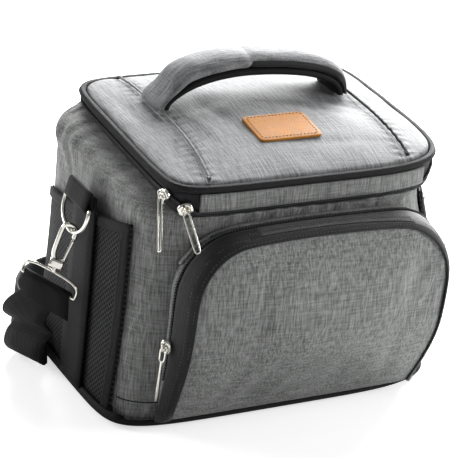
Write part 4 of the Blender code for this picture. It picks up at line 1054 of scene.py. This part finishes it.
def dress_sides(finish):
    """The net pockets, their binding, the side webbing and the strap."""
    for word in ("left", "right"):
        net_piece = dress(f"mesh_pocket_{word}", f"net_{word}", finish["net"],
                          levels=2)
        drop_hem(net_piece)
        trim = dress(f"mesh_binding_{word}", f"net_trim_{word}", finish["piping"],
                     levels=2)
        drop_hem(trim)
        side = -1 if word == "left" else 1
        tree = tree_of(trim)
        for name, y in (("front", -0.0812), ("back", -0.0758)):
            points = [(side * FAR, y, HEM + 0.152 * i / 40) for i in range(41)]
            stitch(f"net_stitches_{name}_{word}", cast(tree, points, (-side, 0, 0)),
                   FINE_STITCH, finish["thread"])
        strap = dress(f"side_webbing_{word}", f"side_strap_{word}", finish["webbing"],
                      levels=1)
        dress(f"ring_tab_{word}", f"ring_loop_{word}", finish["webbing"],
              levels=2)
    strap = dress("shoulder_strap", "shoulder_webbing", finish["strap"], levels=2)


def sew_lid(finish, lid):
    """Stitch lines beside the lid's seams, and the teeth of the zip round it."""
    tree = tree_of(lid)
    for name, side, offset in LID_STITCHES:
        points = [(seam_x(side, y) - side * offset, y, FAR)
                  for y in (SEAM_REACH * (i / 30 - 1) for i in range(61))]
        stitch(f"lid_stitches_{name}", cast(tree, points, (0, 0, -1)), FINE_STITCH,
               finish["grey_thread"])
    line = []
    for ring in stations("lid_zip", 4, LID_MIDDLE, 2):
        centre = sum(ring, Vector()) / len(ring)
        line.append((centre, Vector((centre.x, centre.y * 1.2, 0.0)).normalized()))
    teeth("lid_zip_teeth", line, LID_TEETH, finish["teeth"], True)


def fill_out(slider, puller):
    """Makes a slider fuller where its puller isn't near."""
    tree = tree_of(puller)
    swell, clear, blend = SLIDER_SWELL
    push(slider, lambda point, normal: swell * min(
        max((tree.find_nearest(point)[3] - clear) / blend, 0.0), 1.0))


def dress_metal(finish):
    """The nickel pieces, each in place of its solid."""
    for word in ("left", "right"):
        for node, name, body, levels in (
                (f"d_ring_{word}", f"ring_wire_{word}", "bag", 2),
                (f"strap_loop_{word}", f"loop_wire_{word}", "bag", 2),
                (f"hook_{word}", f"hook_metal_{word}", "bag", 2),
                (f"hook_gate_{word}", f"gate_metal_{word}", f"{word}_gate", 1)):
            dress(node, name, finish["nickel"], body, levels, 42.0)
    for word in ("side", "front", "pocket"):
        puller = dress(f"puller_{word}", f"puller_metal_{word}", finish["nickel"],
                       f"{word}_puller", 2, 70.0)
        push(puller, lambda point, normal: 0.0001)
        slider = dress(f"slider_{word}", f"slider_metal_{word}", finish["nickel"],
                       "bag", 2, 50.0)
        fill_out(slider, puller)


def main():
    """Builds the scene."""
    aim_camera()
    light_studio()
    lay_floor()
    finish = make_finishes()
    dress_body(finish)
    lid = dress_lid(finish)
    sew_lid(finish, lid)
    dress_handle(finish)
    dress_patch(finish)
    dress_pocket(finish)
    dress_sides(finish)
    dress_metal(finish)


main()
